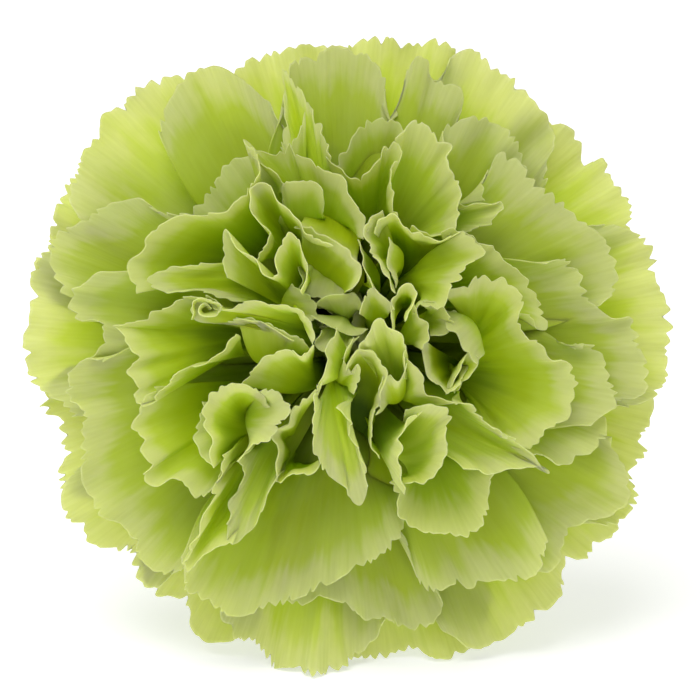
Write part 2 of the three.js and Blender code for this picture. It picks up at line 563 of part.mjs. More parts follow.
function toManifold(points, triangles) {
  const make = (tris) =>
    new wasm.Manifold(
      new wasm.Mesh({
        numProp: 3,
        vertProperties: new Float32Array(points.flatMap((p) => [p.x, p.y, p.z])),
        triVerts: new Uint32Array(tris.flat()),
      }),
    );
  const solid = make(triangles);
  return solid.volume() > 0 ? solid : make(triangles.map(([a, b, c]) => [a, c, b]));
}

function toGeometry(solid) {
  const { vertProperties, triVerts } = solid.getMesh();
  const geometry = new THREE.BufferGeometry();
  geometry.setAttribute("position", new THREE.BufferAttribute(vertProperties, 3));
  geometry.setIndex(new THREE.BufferAttribute(triVerts, 1));
  geometry.computeVertexNormals();
  return geometry;
}

const SLIVER = 0.004; // edges shorter than this are closed up

// The largest body of a joined solid. Its sealed hollows are filled and loose
// scraps are dropped.
const mainBody = (solid) =>
  solid
    .simplify(SLIVER)
    .decompose()
    .reduce((best, one) => (one.volume() > best.volume() ? one : best));

// A closed solid from a geometry in the flower's own frame.
function solidOf(geometry) {
  geometry.deleteAttribute("normal");
  geometry.deleteAttribute("uv");
  const merged = mergeVertices(geometry, MERGE);
  const { position } = merged.attributes;
  const points = Array.from({ length: position.count }, (_, i) =>
    new THREE.Vector3().fromBufferAttribute(position, i),
  );
  const triangles = [];
  for (let i = 0; i < merged.index.count; i += 3) {
    const [a, b, c] = merged.index.array.slice(i, i + 3);
    if (a !== b && b !== c && c !== a) triangles.push([a, b, c]);
  }
  return toManifold(points.map(toRow), triangles);
}

// A turned piece round the flower's axis. Its profile of [radius, height] points
// starts and ends on the axis, or closes on itself. bend moves each point.
function turned(profile, sides, bend = (p) => p) {
  const geometry = new THREE.LatheGeometry(profile.map(([r, h]) => new THREE.Vector2(r, h)), sides);
  geometry.rotateX(Math.PI / 2);
  const { position } = geometry.attributes;
  for (let i = 0; i < position.count; i++) {
    const p = bend(new THREE.Vector3().fromBufferAttribute(position, i));
    position.setXYZ(i, p.x, p.y, p.z);
  }
  return solidOf(geometry);
}

// A closed plate through a grid of points, half the thickness to either side.
function plate(grid, thickness) {
  const cols = grid[0].length;
  const points = grid.flat();
  const faces = [];
  for (let i = 0; i < grid.length - 1; i++) {
    for (let j = 0; j < cols - 1; j++) {
      const a = i * cols + j;
      faces.push([a, a + cols, a + cols + 1], [a, a + cols + 1, a + 1]);
    }
  }
  const normals = points.map(() => new THREE.Vector3());
  for (const [a, b, c] of faces) {
    const n = points[b].clone().sub(points[a]).cross(points[c].clone().sub(points[a]));
    for (const v of [a, b, c]) normals[v].add(n);
  }
  normals.forEach((n) => n.setLength(thickness / 2));
  const count = points.length;
  const last = count - cols;
  const border = [];
  for (let j = 0; j < cols - 1; j++) border.push(j);
  for (let i = 0; i < grid.length - 1; i++) border.push(i * cols + cols - 1);
  for (let j = cols - 1; j > 0; j--) border.push(last + j);
  for (let i = grid.length - 1; i > 0; i--) border.push(i * cols);
  const triangles = faces.flatMap(([a, b, c]) => [[a, b, c], [count + a, count + c, count + b]]);
  border.forEach((a, i) => {
    const b = border[(i + 1) % border.length];
    triangles.push([a, b, count + a], [b, count + b, count + a]);
  });
  const faceOf = (sign) => points.map((p, i) => p.clone().addScaledVector(normals[i], sign));
  return toManifold([...faceOf(1), ...faceOf(-1)].map(toRow), triangles);
}

// ---------------------------------------------------------------- the bloom

// The claws, bundled: narrow in the calyx, swelling under the petals.
const CLAWS_RADIUS = CALYX_RADIUS - 1.3;
const CLAWS_NECK = [CLAWS_RADIUS - 0.5, CALYX_FOOT + 7];
const CLAWS_TIP = [3.6, CALYX_FOOT + 2];
const CORE_PROFILE = [
  [0, CALYX_FOOT + 1.4], CLAWS_TIP, CLAWS_NECK, [CLAWS_RADIUS, CALYX_MOUTH - 6],
  [CLAWS_RADIUS, CALYX_MOUTH], [6.6, -6], [7.2, -1], [6.4, 3], [4, 5.2], [0, 6],
];
const CORE_SIDES = 20;

function bloomSolid() {
  const core = turned(CORE_PROFILE, CORE_SIDES);
  return mainBody(PETALS.map(petalSolid).reduce((sum, petal) => sum.add(petal), core));
}

// ---------------------------------------------------------------- the calyx

// Outer radius of the calyx by height over its foot, up to where it is straight.
const CALYX_PROFILE = [[3.2, 0], [5.2, 1.2], [6.4, 4.5], [CALYX_RADIUS - 0.1, 10], [CALYX_RADIUS, 18]];
const TEETH = 5;
const CALYX_SIDES = TEETH * 8;
const TOOTH_ROOT = CALYX_MOUTH - TOOTH_LENGTH - 1; // height where the teeth part
const TOOTH_FLARE = 0.2;
const TOOTH_THICKNESS = CALYX_RADIUS + TOOTH_FLARE - CLAWS_RADIUS - 0.7;
const TOOTH_CURVE = 1.3; // over 1 gives hollow sides and a sharp tip

// The height of the mouth round the tube, with its five teeth.
function mouthHeight(angle) {
  const phase = (((angle * TEETH) / (2 * Math.PI)) % 1 + 1) % 1;
  const rise = 1 - Math.abs(2 * phase - 1);
  return CALYX_MOUTH - TOOTH_LENGTH * (1 - rise ** TOOTH_CURVE);
}

function calyxSolid() {
  const outside = CALYX_PROFILE.map(([r, up]) => [r, CALYX_FOOT + up]);
  const inside = [
    [CLAWS_RADIUS + FIT, TOOTH_ROOT], [CLAWS_RADIUS + FIT, CALYX_MOUTH - 10],
    [CLAWS_NECK[0] + FIT, CLAWS_NECK[1] - 0.4], [CLAWS_TIP[0] + FIT, CLAWS_TIP[1] - 0.4],
    [0, CALYX_FOOT + 1],
  ];
  const mouth = CALYX_RADIUS + TOOTH_FLARE;
  const profile = [
    [0, CALYX_FOOT], ...outside, [CALYX_RADIUS, TOOTH_ROOT],
    [mouth, CALYX_MOUTH], [mouth - TOOTH_THICKNESS, CALYX_MOUTH], ...inside,
  ];
  return turned(profile, CALYX_SIDES, (p) => {
    if (p.z > TOOTH_ROOT + MERGE) p.z = mouthHeight(Math.atan2(p.y, p.x));
    return p;
  });
}

// ---------------------------------------------------------------- the bracts

// Four pointed scales in two crossed pairs, joined by the ring that they grow
// from, close round the foot of the calyx. The second pair lies over the first.
const BRACT = { count: 4, length: 11, foot: 1.4, thickness: 0.7, halfAngle: 0.95, tip: 0.03, turn: 0.5 };
const OVER = { lift: 0.45, shorter: 2 };
const COLLAR_SIDES = 32;
const COLLAR_BELOW = 0.9; // how far the ring reaches below the calyx
const COLLAR_WALL = 1;

// Outer radius of the calyx at a height over its foot.
function calyxRadius(up) {
  const next = CALYX_PROFILE.findIndex(([, height]) => height >= up);
  if (next < 1) return next === 0 ? CALYX_PROFILE[0][0] : CALYX_RADIUS;
  const [r0, u0] = CALYX_PROFILE[next - 1];
  const [r1, u1] = CALYX_PROFILE[next];
  return mix(r0, r1, (up - u0) / (u1 - u0));
}

const polar = (r, angle, h) => new THREE.Vector3(r * Math.cos(angle), r * Math.sin(angle), h);

// One scale: broad at its foot, drawn to a point that stands off a little.
function bract(angle, lift, length) {
  const rows = 7;
  const cols = 6;
  const standOff = 0.6;
  const grid = Array.from({ length: rows + 1 }, (_, i) => {
    const v = i / rows;
    const up = BRACT.foot + v * length;
    const half = BRACT.halfAngle * Math.sqrt(1 - v ** 2.2) * (1 - 0.25 * v) + BRACT.tip;
    const r = calyxRadius(up) + FIT + BRACT.thickness / 2 + lift + standOff * v ** 3;
    return Array.from({ length: cols + 1 }, (_, j) =>
      polar(r, angle + half * ((2 * j) / cols - 1), CALYX_FOOT + up),
    );
  });
  return plate(grid, BRACT.thickness);
}

function bractsSolid() {
  const near = FIT + 0.05;
  const [[footR], [sideR, sideUp], [topR, topUp]] = CALYX_PROFILE;
  const section = [
    [footR + 0.1, -COLLAR_BELOW], [footR + 0.1, -near], [sideR + near, sideUp - near],
    [topR + near, topUp - 0.6], [topR + near + COLLAR_WALL, topUp - 0.6],
    [sideR + near + COLLAR_WALL, sideUp - 1.1],
  ];
  const loop = [...section, section[0]].map(([r, up]) => [r, CALYX_FOOT + up]);
  let solid = turned(loop, COLLAR_SIDES);
  for (let k = 0; k < BRACT.count; k++) {
    const over = k % 2;
    const angle = ((2 * Math.PI) / BRACT.count) * k + BRACT.turn;
    solid = solid.add(bract(angle, over * OVER.lift, BRACT.length - over * OVER.shorter));
  }
  return mainBody(solid);
}

// ---------------------------------------------------------------- stem and leaves

const STEM_TOP = CALYX_FOOT - FIT;
// The cut end meets the surface.
const STEM_END = -(ORIGIN.z - STEM_RADIUS * Math.cos(LEAN)) / Math.sin(LEAN);
const STEM_SIDES = 16;
const STEM_BEND = 1.2; // how far the stem swings to one side of the straight axis
const STEM_FLARE = { radius: 0.5, length: 3 }; // under the calyx
// The joint: the swelling that the pair of leaves grows from.
const JOINT = { height: CALYX_FOOT - 40, radius: 3.2, half: 3.5, reach: 7.5, step: 2.5 };

function stemCentre(h) {
  const along = (STEM_TOP - h) / (STEM_TOP - STEM_END);
  return STEM_BEND * Math.sin(Math.PI * along) ** 2;
}

function stemRadius(h) {
  const swelling = (JOINT.radius - STEM_RADIUS) * Math.exp(-(((h - JOINT.height) / JOINT.half) ** 2));
  const flare = STEM_FLARE.radius * Math.exp(-(STEM_TOP - h) / STEM_FLARE.length);
  return STEM_RADIUS + swelling + flare;
}

function stemSolid() {
  const heights = [0, 2, 5, 12, 20, 28].map((down) => STEM_TOP - down);
  for (let d = JOINT.reach; d >= -JOINT.reach; d -= JOINT.step) heights.push(JOINT.height + d);
  for (let k = 1; k <= 4; k++) heights.push(mix(JOINT.height - JOINT.reach, STEM_END, k / 4));
  const profile = [[0, STEM_TOP], ...heights.map((h) => [stemRadius(h), h]), [0, STEM_END]];
  return turned(profile, STEM_SIDES, (p) => p.setX(p.x + stemCentre(p.z)));
}

// A narrow channelled leaf: it clasps half of the joint, runs along the stem
// towards the bloom and then bends away. side is 1 or -1.
const LEAF = {
  thickness: 0.7, clasp: 1.35, halfWidth: 2.6, channel: 6, claspShare: 0.16, taperFrom: 0.3,
  spread: 18, tip: 0.15, rows: 14, cols: 4,
};

function leafSolid(side) {
  const inner = JOINT.radius + FIT + LEAF.thickness / 2 + 0.1;
  const along = (share) => JOINT.height + share * LEAF_LENGTH;
  const spine = new THREE.CatmullRomCurve3([
    new THREE.Vector3(inner, 0, JOINT.height - 1),
    new THREE.Vector3(inner + 0.5, 0, JOINT.height + 5),
    new THREE.Vector3(inner + 4, 0.6, along(0.42)),
    new THREE.Vector3(inner + 11, 1, along(0.68)),
    new THREE.Vector3(inner + LEAF.spread, 0.4, along(0.8)),
  ]);
  const grid = Array.from({ length: LEAF.rows + 1 }, (_, i) => {
    const v = i / LEAF.rows;
    const c = spine.getPointAt(v);
    const ahead = spine.getTangentAt(v);
    const out = new THREE.Vector3(ahead.z, 0, -ahead.x).normalize();
    const open = Math.min(1, v / LEAF.claspShare);
    const radius = mix(inner, LEAF.channel, open);
    const taper = 1 - (Math.max(0, v - LEAF.taperFrom) / (1.02 - LEAF.taperFrom)) ** 1.5;
    const half = mix(LEAF.clasp * inner, LEAF.halfWidth, open) * taper + LEAF.tip;
    return Array.from({ length: LEAF.cols + 1 }, (_, j) => {
      const a = (half / radius) * ((2 * j) / LEAF.cols - 1);
      const back = radius * (Math.cos(a) - 1);
      const x = c.x + out.x * back;
      const y = c.y + radius * Math.sin(a);
      return new THREE.Vector3(side * x + stemCentre(JOINT.height), side * y, c.z + out.z * back);
    });
  });
  return plate(grid, LEAF.thickness);
}

// ---------------------------------------------------------------- the flower

const group = new THREE.Group();

function addPart(name, geometry, colour, roughness) {
  const material = new THREE.MeshStandardMaterial({ color: colour, roughness, metalness: 0 });
  const mesh = new THREE.Mesh(geometry, material);
  mesh.name = name;
  group.add(mesh);
}

addPart("bloom", toGeometry(bloomSolid()), "#a8bb4a", 0.75);
addPart("calyx", toGeometry(calyxSolid()), "#8fa860", 0.6);
addPart("bracts", toGeometry(bractsSolid()), "#8aa368", 0.65);
addPart("stem", toGeometry(stemSolid()), "#86a06a", 0.55);
addPart("leaf_left", toGeometry(leafSolid(-1)), "#7f9a72", 0.65);
addPart("leaf_right", toGeometry(leafSolid(1)), "#7f9a72", 0.65);

export default group;
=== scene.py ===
"""The looks of a cut carnation, laid down: bloom, calyx, bracts, stem and leaves.

All pieces are built in the flower's own frame in mm: x to the right and y up as
the bloom is seen from in front, z along the flower's axis towards the viewer.
to_row() lays that frame down on the surface, in m. Sizes and places are those of
the CAD model.
"""

import math

import bpy
import numpy as np
from mathutils import Matrix, Vector


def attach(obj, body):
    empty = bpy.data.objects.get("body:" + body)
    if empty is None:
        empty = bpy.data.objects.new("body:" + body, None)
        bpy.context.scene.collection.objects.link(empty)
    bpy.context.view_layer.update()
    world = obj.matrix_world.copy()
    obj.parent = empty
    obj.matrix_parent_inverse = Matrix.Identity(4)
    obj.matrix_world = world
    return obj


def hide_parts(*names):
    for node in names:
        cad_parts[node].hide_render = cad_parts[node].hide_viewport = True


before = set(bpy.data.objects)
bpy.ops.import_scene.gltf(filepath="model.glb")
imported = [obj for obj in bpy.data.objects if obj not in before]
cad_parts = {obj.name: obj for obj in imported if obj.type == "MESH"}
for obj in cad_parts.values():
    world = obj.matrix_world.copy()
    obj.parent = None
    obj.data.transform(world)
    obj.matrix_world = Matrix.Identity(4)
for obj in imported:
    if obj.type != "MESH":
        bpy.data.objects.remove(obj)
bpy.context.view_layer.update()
scene = bpy.context.scene

# ---- sizes

MM = 0.001
BLOOM_ACROSS = 78
BLOOM_ACROSS_PX = 652  # of the 700 pixels across the photograph
MM_PER_PX = BLOOM_ACROSS / BLOOM_ACROSS_PX
AXIS_PX = (347, 348)  # where the flower's axis meets the picture
PICTURE_PX = 700
CALYX_LENGTH = 30
CALYX_RADIUS = 7
STEM_RADIUS = 2.5
LEAF_LENGTH = 38
LEAN = math.radians(17)  # of the flower's axis over the surface
FIT = 0.3  # gap between pieces that touch
CALYX_MOUTH = -10
TOOTH_LENGTH = 5
CALYX_FOOT = CALYX_MOUTH - CALYX_LENGTH
ORIGIN = np.array([-0.25, -45.9, 37.2])  # of the flower's frame, in the row's
LOWEST = 0.05  # height of what lies on the surface

ACROSS = np.array([1.0, 0, 0])
UP = np.array([0, math.sin(LEAN), math.cos(LEAN)])
AXIS = np.array([0, -math.cos(LEAN), math.sin(LEAN)])
LEVEL = np.array([1, 1, 0])  # leaves out the height along the flower's axis
HEIGHT = np.array([0, 0, 1.0])


def to_row(points):
    """Points of the flower's frame, in mm, as points of the row's, in m."""
    x, y, z = points[..., 0:1], points[..., 1:2], points[..., 2:3]
    row = ORIGIN + x * ACROSS + y * UP + z * AXIS
    row[..., 2] = np.maximum(row[..., 2], LOWEST)
    return row * MM


def seen(points):
    """Points given as they are seen: pixels across and down, and a height."""
    across, down, height = np.reshape(points, (-1, 3)).astype(float).T
    return np.stack([(across - AXIS_PX[0]) * MM_PER_PX, (AXIS_PX[1] - down) * MM_PER_PX, height], 1)


def unit(v):
    return v / np.maximum(np.linalg.norm(v, axis=-1, keepdims=True), 1e-9)


def smooth(a, b, x):
    t = np.clip((x - a) / (b - a), 0, 1)
    return t * t * (3 - 2 * t)


def near(distance, reach):
    """1 at a border, falling away with the distance from it."""
    return np.exp(-distance / reach)


# ---- the petals

# By kind: name, width of the blade at its throat, rim, and throat (the point that
# the blade opens from; RING_THROAT gives that of an outer ring's petals). A point
# is pixels across and down, and the height along the axis in mm.
PETALS = {}
# The outermost ring, clockwise from the top
PETALS["guard"] = [
    ("top_left", 8, [236,112,-2, 228,76,-3, 250,58,-4, 280,47,-4, 312,43,-4, 345,45,-4, 370,62,-3,
     378,98,-2]),
    ("top", 8, [340,92,-3, 348,52,-4, 358,38,-5, 385,35,-5, 413,42,-5, 431,36,-5, 452,43,-4, 462,64,-4,
     454,102,-3]),
    ("top_right", 8, [432,96,-1, 445,62,-2, 458,52,-3, 474,48,-3, 495,66,-3, 520,80,-3, 534,100,-3,
     552,122,-3, 556,150,-2, 538,176,-1]),
    ("right_high", 8, [502,132,-3, 532,116,-4, 562,123,-5, 582,137,-5, 585,158,-5, 606,157,-5, 614,178,-5,
     628,192,-5, 634,220,-4, 624,246,-4, 590,262,-3]),
    ("right", 8, [592,226,-1, 630,228,-2, 647,238,-3, 658,256,-3, 656,275,-3, 669,300,-4, 674,330,-4,
     668,352,-4, 669,375,-3, 655,398,-3, 620,408,-2]),
    ("right_low", 8, [624,378,-3, 650,395,-4, 656,408,-5, 650,428,-5, 643,440,-5, 650,453,-5, 640,464,-5,
     633,476,-5, 642,497,-5, 631,513,-4, 610,530,-3, 575,522,-2]),
    ("low_right", 8, [600,500,-1, 618,522,-2, 617,536,-3, 598,546,-3, 592,557,-3, 576,562,-3, 563,571,-4,
     566,584,-4, 562,599,-4, 548,611,-4, 537,620,-3, 522,628,-3, 500,643,-3, 472,650,-3, 442,630,-2]),
    ("bottom_right", 8, [492,600,-3, 480,640,-4, 462,656,-5, 440,660,-5, 412,651,-5, 390,658,-5, 373,663,-5,
     350,657,-5, 330,640,-4, 324,608,-3]),
    ("bottom", 8, [388,620,-1, 366,650,-2, 346,663,-2, 334,671,-0.5, 310,677,1.8, 297,669,0, 270,668,-1,
     260,655,-2, 250,643,-3, 232,638,-3, 222,615,-2, 230,588,-1]),
    ("bottom_left", 8, [264,608,-3, 240,640,-4, 216,644,-5, 203,644,-5, 190,629,-5, 189,612,-5, 176,599,-5,
     157,597,-5, 143,582,-4, 140,560,-4, 152,534,-3]),
    ("low_left", 8, [176,570,-1, 150,590,-2, 135,579,-3, 130,560,-3, 126,549,-3, 105,550,-4, 86,543,-4,
     82,532,-4, 64,516,-4, 60,495,-3, 75,470,-3, 105,455,-2]),
    ("left_low", 8, [86,500,-3, 60,492,-4, 57,472,-5, 64,455,-5, 57,440,-5, 57,428,-5, 60,419,-5, 45,415,-5,
     38,405,-5, 42,394,-4, 60,370,-4, 96,366,-3]),
    ("left", 8, [72,415,-1, 48,395,-2, 30,380,-3, 24,362,-4, 21,340,-4, 28,318,-4, 29,295,-4, 30,275,-4,
     45,248,-3, 75,238,-3, 108,258,-2]),
    ("left_high", 8, [52,300,-3, 32,268,-4, 46,245,-5, 49,228,-5, 53,212,-5, 58,195,-6, 66,178,-6, 84,164,-7,
     104,168,-7, 120,190,-6]),
    ("high_left", 8, [88,226,2, 68,200,1, 74,172,-1, 84,148,-3, 98,128,-4, 103,113,-4, 122,103,-4, 132,88,-4,
     155,78,-3, 175,74,-3, 190,84,-3, 206,110,-2]),
]
# The next ring, over the guard petals
PETALS["second"] = [
    ("top", 9, [282,110,5, 283,88,4, 286,68,3, 303,58,2, 322,52,1, 332,46,0, 350,49,0, 366,55,1, 382,76,2,
     388,112,3]),
    ("top_fold", 9, [398,118,4, 404,76,3, 414,58,2, 428,60,2, 432,78,2, 450,82,2, 463,92,2, 460,114,2,
     444,140,2]),
    ("top_right", 8, [444,172,7, 447,142,6, 461,122,5, 480,116,4, 498,124,3, 516,138,3, 526,164,1,
     516,188,0]),
    ("right_high", 9, [484,202,8, 488,166,7, 504,153,6, 520,162,5, 532,177,5, 547,190,5, 562,200,4,
     573,212,4, 600,234,3, 613,255,2, 618,282,2, 600,304,3]),
    ("right", 9, [544,266,8, 564,257,7, 576,268,6, 586,283,6, 589,300,5, 602,313,4, 620,317,3, 636,324,2,
     640,346,2, 649,373,1, 640,396,0, 606,402,0]),
    ("right_low", 7, [574,350,6, 590,349,6, 604,362,5, 612,383,5, 619,400,5, 612,411,5, 588,420,6]),
    ("low_right", 7, [590,406,3, 605,417,4, 606,432,6, 597,446,6, 580,458,6, 556,456,7, 530,452,8,
     518,440,9]),
    ("low_right_back", 9, [604,444,3, 626,470,2, 630,500,1, 612,515,1, 592,521,1, 568,533,0, 562,558,0,
     545,573,-1, 524,574,-1]),
    ("bottom_right", 9, [548,540,5, 538,572,4, 520,581,3, 490,581,3, 470,589,3, 455,584,3, 437,591,3,
     420,587,3, 410,562,4, 404,532,5]),
    ("bottom_back", 9, [268,590,2, 290,602,2, 297,607,2, 320,598,2, 336,601,2, 350,612,1, 368,621,0,
     385,619,0, 410,631,-1, 430,625,-1, 442,612,-1, 442,588,0, 428,556,2]),
    ("bottom_left", 11, [180,556,6, 188,594,4, 208,602,4, 228,615,4, 245,616,4, 262,609,4, 290,601,5,
     320,589,5, 350,572,6, 382,556,7, 402,541,8, 404,524,8, 397,504,9]),
    ("left_low", 11, [104,362,6, 68,372,4, 70,385,4, 67,400,3, 81,408,3, 81,440,3, 81,475,2, 88,495,2,
     103,517,2, 122,524,2, 142,560,2, 166,576,3, 192,566,5]),
    ("left", 8, [86,382,2, 76,372,3, 86,360,5, 98,349,6, 105,333,6, 94,322,5, 76,318,4, 68,300,3, 78,286,4,
     104,278,6]),
    ("left_high", 9, [62,292,3, 50,262,2, 50,236,1, 75,226,2, 98,209,3, 122,201,4, 148,199,5, 175,212,6,
     195,205,6, 214,184,6, 230,160,6, 256,160,8]),
    ("high_left", 8, [158,132,3, 172,94,1, 190,71,0, 222,67,0, 245,83,1, 265,105,2, 283,124,3, 298,142,4,
     308,160,5]),
]
# Folded and cupped petals inside the two rings
PETALS["inner"] = [
    ("high_left", 6, [142,294,10, 133,278,9, 133,262,9, 148,250,10, 153,237,11, 166,227,12, 187,220,13,
     212,218,14, 236,209,15, 251,193,16, 261,177,16, 257,160,15, 246,145,13], (270,258,4)),
    ("left_tongue", 4, [206,262,14, 172,271,12, 152,280,11, 158,288,11, 185,293,12, 211,292,13,
     241,302,15], (268,290,11)),
    ("left_trough", 4, [229,312,16, 208,298,13, 185,303,12, 165,312,11, 145,321,10, 118,326,9, 124,331,9,
     133,346,10, 141,358,11, 133,371,11, 139,380,11, 138,398,11, 150,405,12, 166,387,13, 185,371,15,
     205,364,16, 222,352,17, 240,335,19], (262,338,4)),
    ("left_low", 5, [160,386,12, 150,398,12, 141,412,11, 138,428,11, 149,436,11, 146,449,11, 156,464,11,
     147,472,10, 153,480,10, 172,477,11, 190,482,11, 202,495,11, 212,488,12, 222,468,14], (268,395,4)),
    ("low_left_bowl", 4, [217,463,15, 218,450,16, 217,436,17, 211,428,17, 208,415,18, 212,398,18, 219,390,19,
     236,384,20, 250,388,20, 262,398,19, 269,408,18], (257,418,8)),
    ("low_left_back", 3, [208,402,13, 204,418,13, 198,430,13, 200,444,13, 208,457,13,
     218,462,14], (256,416,6)),
    ("low_left_point", 3, [229,452,16, 223,475,14, 213,498,13, 204,520,12, 194,545,10, 186,562,9, 190,567,9,
     200,557,9, 215,546,10, 234,538,11], (272,430,6)),
    ("bottom_hollow", 3, [321,385,22, 312,395,21, 303,405,20, 290,420,18, 279,431,17, 281,442,16, 282,457,15,
     278,480,13, 290,473,14, 302,469,15, 314,466,15, 322,462,16], (308,432,-2)),
    ("right", 6, [446,298,18, 465,287,17, 485,281,16, 500,281,16, 504,289,16, 513,294,16, 518,306,15,
     513,322,14, 520,337,13, 531,341,12, 545,357,11, 562,363,10, 573,386,9, 567,398,9, 565,412,9, 556,422,9,
     541,428,10, 533,441,10, 522,447,11, 500,441,11, 478,426,11, 462,408,10], (450,365,5)),
    ("right_arm", 4, [440,236,16, 460,236,15, 482,249,14, 500,262,13, 515,274,12, 526,286,12, 534,302,11,
     541,318,11, 541,329,11, 533,328,11, 526,314,12], (450,290,10)),
    ("high_right_tongue", 4, [459,234,16, 474,246,16, 481,257,16, 472,263,16, 460,268,17, 455,280,18,
     445,288,19, 441,300,19, 436,306,19, 420,304,20, 412,310,21], (412,283,13)),
    ("top_fold", 3, [328,163,13, 338,170,13, 347,180,14, 358,183,14, 370,178,14, 378,165,13, 386,149,12,
     395,148,12, 398,160,13, 392,168,14, 391,186,16, 389,205,17, 396,221,18], (372,232,6)),
    ("top_arch", 5, [341,180,9, 341,160,8, 352,145,7, 362,130,6, 375,121,5, 390,124,5, 402,134,5, 408,150,5,
     410,178,6], (374,200,2)),
    ("top_left_blade", 3, [284,152,9, 287,128,7, 285,100,5, 284,72,4, 296,88,5, 304,98,6, 311,113,7,
     319,130,9, 325,146,11, 328,163,13], (316,190,9)),
    ("top_left", 3, [306,118,9, 296,140,10, 290,150,11, 276,157,11, 260,156,11, 246,145,12, 262,166,14,
     278,177,15, 288,189,16], (296,200,9)),
    ("top_left_cup", 5, [287,214,14, 285,200,15, 286,189,16, 300,188,17, 318,190,17, 321,203,17,
     320,216,16], (303,234,12)),
    ("top_band", 3, [295,149,12, 303,161,13, 320,170,15, 334,178,16, 343,186,17, 347,200,18, 355,212,19,
     364,226,20, 361,241,21], (330,232,11)),
]
# Such petals with a wider and paler margin
PETALS["pale"] = [
    ("low_left_turn", 5, [256,390,19, 274,392,20, 284,400,20, 286,411,20, 280,422,19, 268,433,18, 250,446,17,
     239,456,16], (248,418,12)),
    ("low_left_lobe", 4, [243,458,15, 248,467,14, 248,477,13, 240,486,12, 232,499,12, 234,510,12, 229,521,11,
     230,530,11, 234,540,10, 244,534,10, 256,520,11, 264,505,12, 270,489,13, 277,470,14], (274,450,10)),
    ("bottom_tongue", 4, [322,386,22, 318,398,21, 314,415,20, 315,435,18, 317,452,17, 321,462,16, 333,474,15,
     347,484,14, 352,498,13, 360,500,13, 366,485,14, 364,465,16, 358,450,17, 351,432,19, 349,420,20,
     343,409,21, 336,402,21], (334,392,17)),
    ("low_right_bowl", 4, [404,414,18, 412,410,19, 422,408,20, 434,407,20, 447,411,19, 445,426,18,
     439,440,18, 441,452,17, 438,464,16, 429,474,15, 416,478,15, 402,481,14], (395,450,8)),
    ("low_right_roll", 6, [417,411,20, 407,419,20, 401,430,20, 397,442,19.5, 396,454,18.5, 398,466,17.5,
     401,478,16, 404,488,14], (387,444,14)),
    ("bottom_right", 5, [392,478,13, 397,492,12, 401,508,11, 412,521,10, 424,527,10, 436,528,10, 448,531,9,
     463,533,9, 478,524,9, 485,508,10, 487,490,10, 488,474,11, 498,464,12], (424,450,4)),
    ("low_right", 6, [450,404,18, 467,403,17, 474,413,16, 487,425,15, 496,429,14, 497,438,13, 512,437,13,
     522,448,12, 532,459,11, 544,470,10, 528,464,11, 508,466,12, 486,468,13, 460,464,15], (430,405,10)),
    ("high_right", 5, [396,146,12, 413,126,10, 427,132,10, 435,147,11, 446,150,11, 447,172,12, 454,177,12,
     455,200,13, 452,220,14, 449,233,15, 430,237,16, 408,232,17], (394,248,4)),
    ("right_tab", 3, [453,209,9, 466,206,10, 484,208,10, 497,205,9, 494,216,10, 478,227,10,
     458,234,10], (446,224,7)),
    ("right_roll", 6, [436,315,16, 444,322,17, 450,331,18, 457,332,18, 461,343,18, 466,353,18,
     474,361,17], (470,322,13)),
]
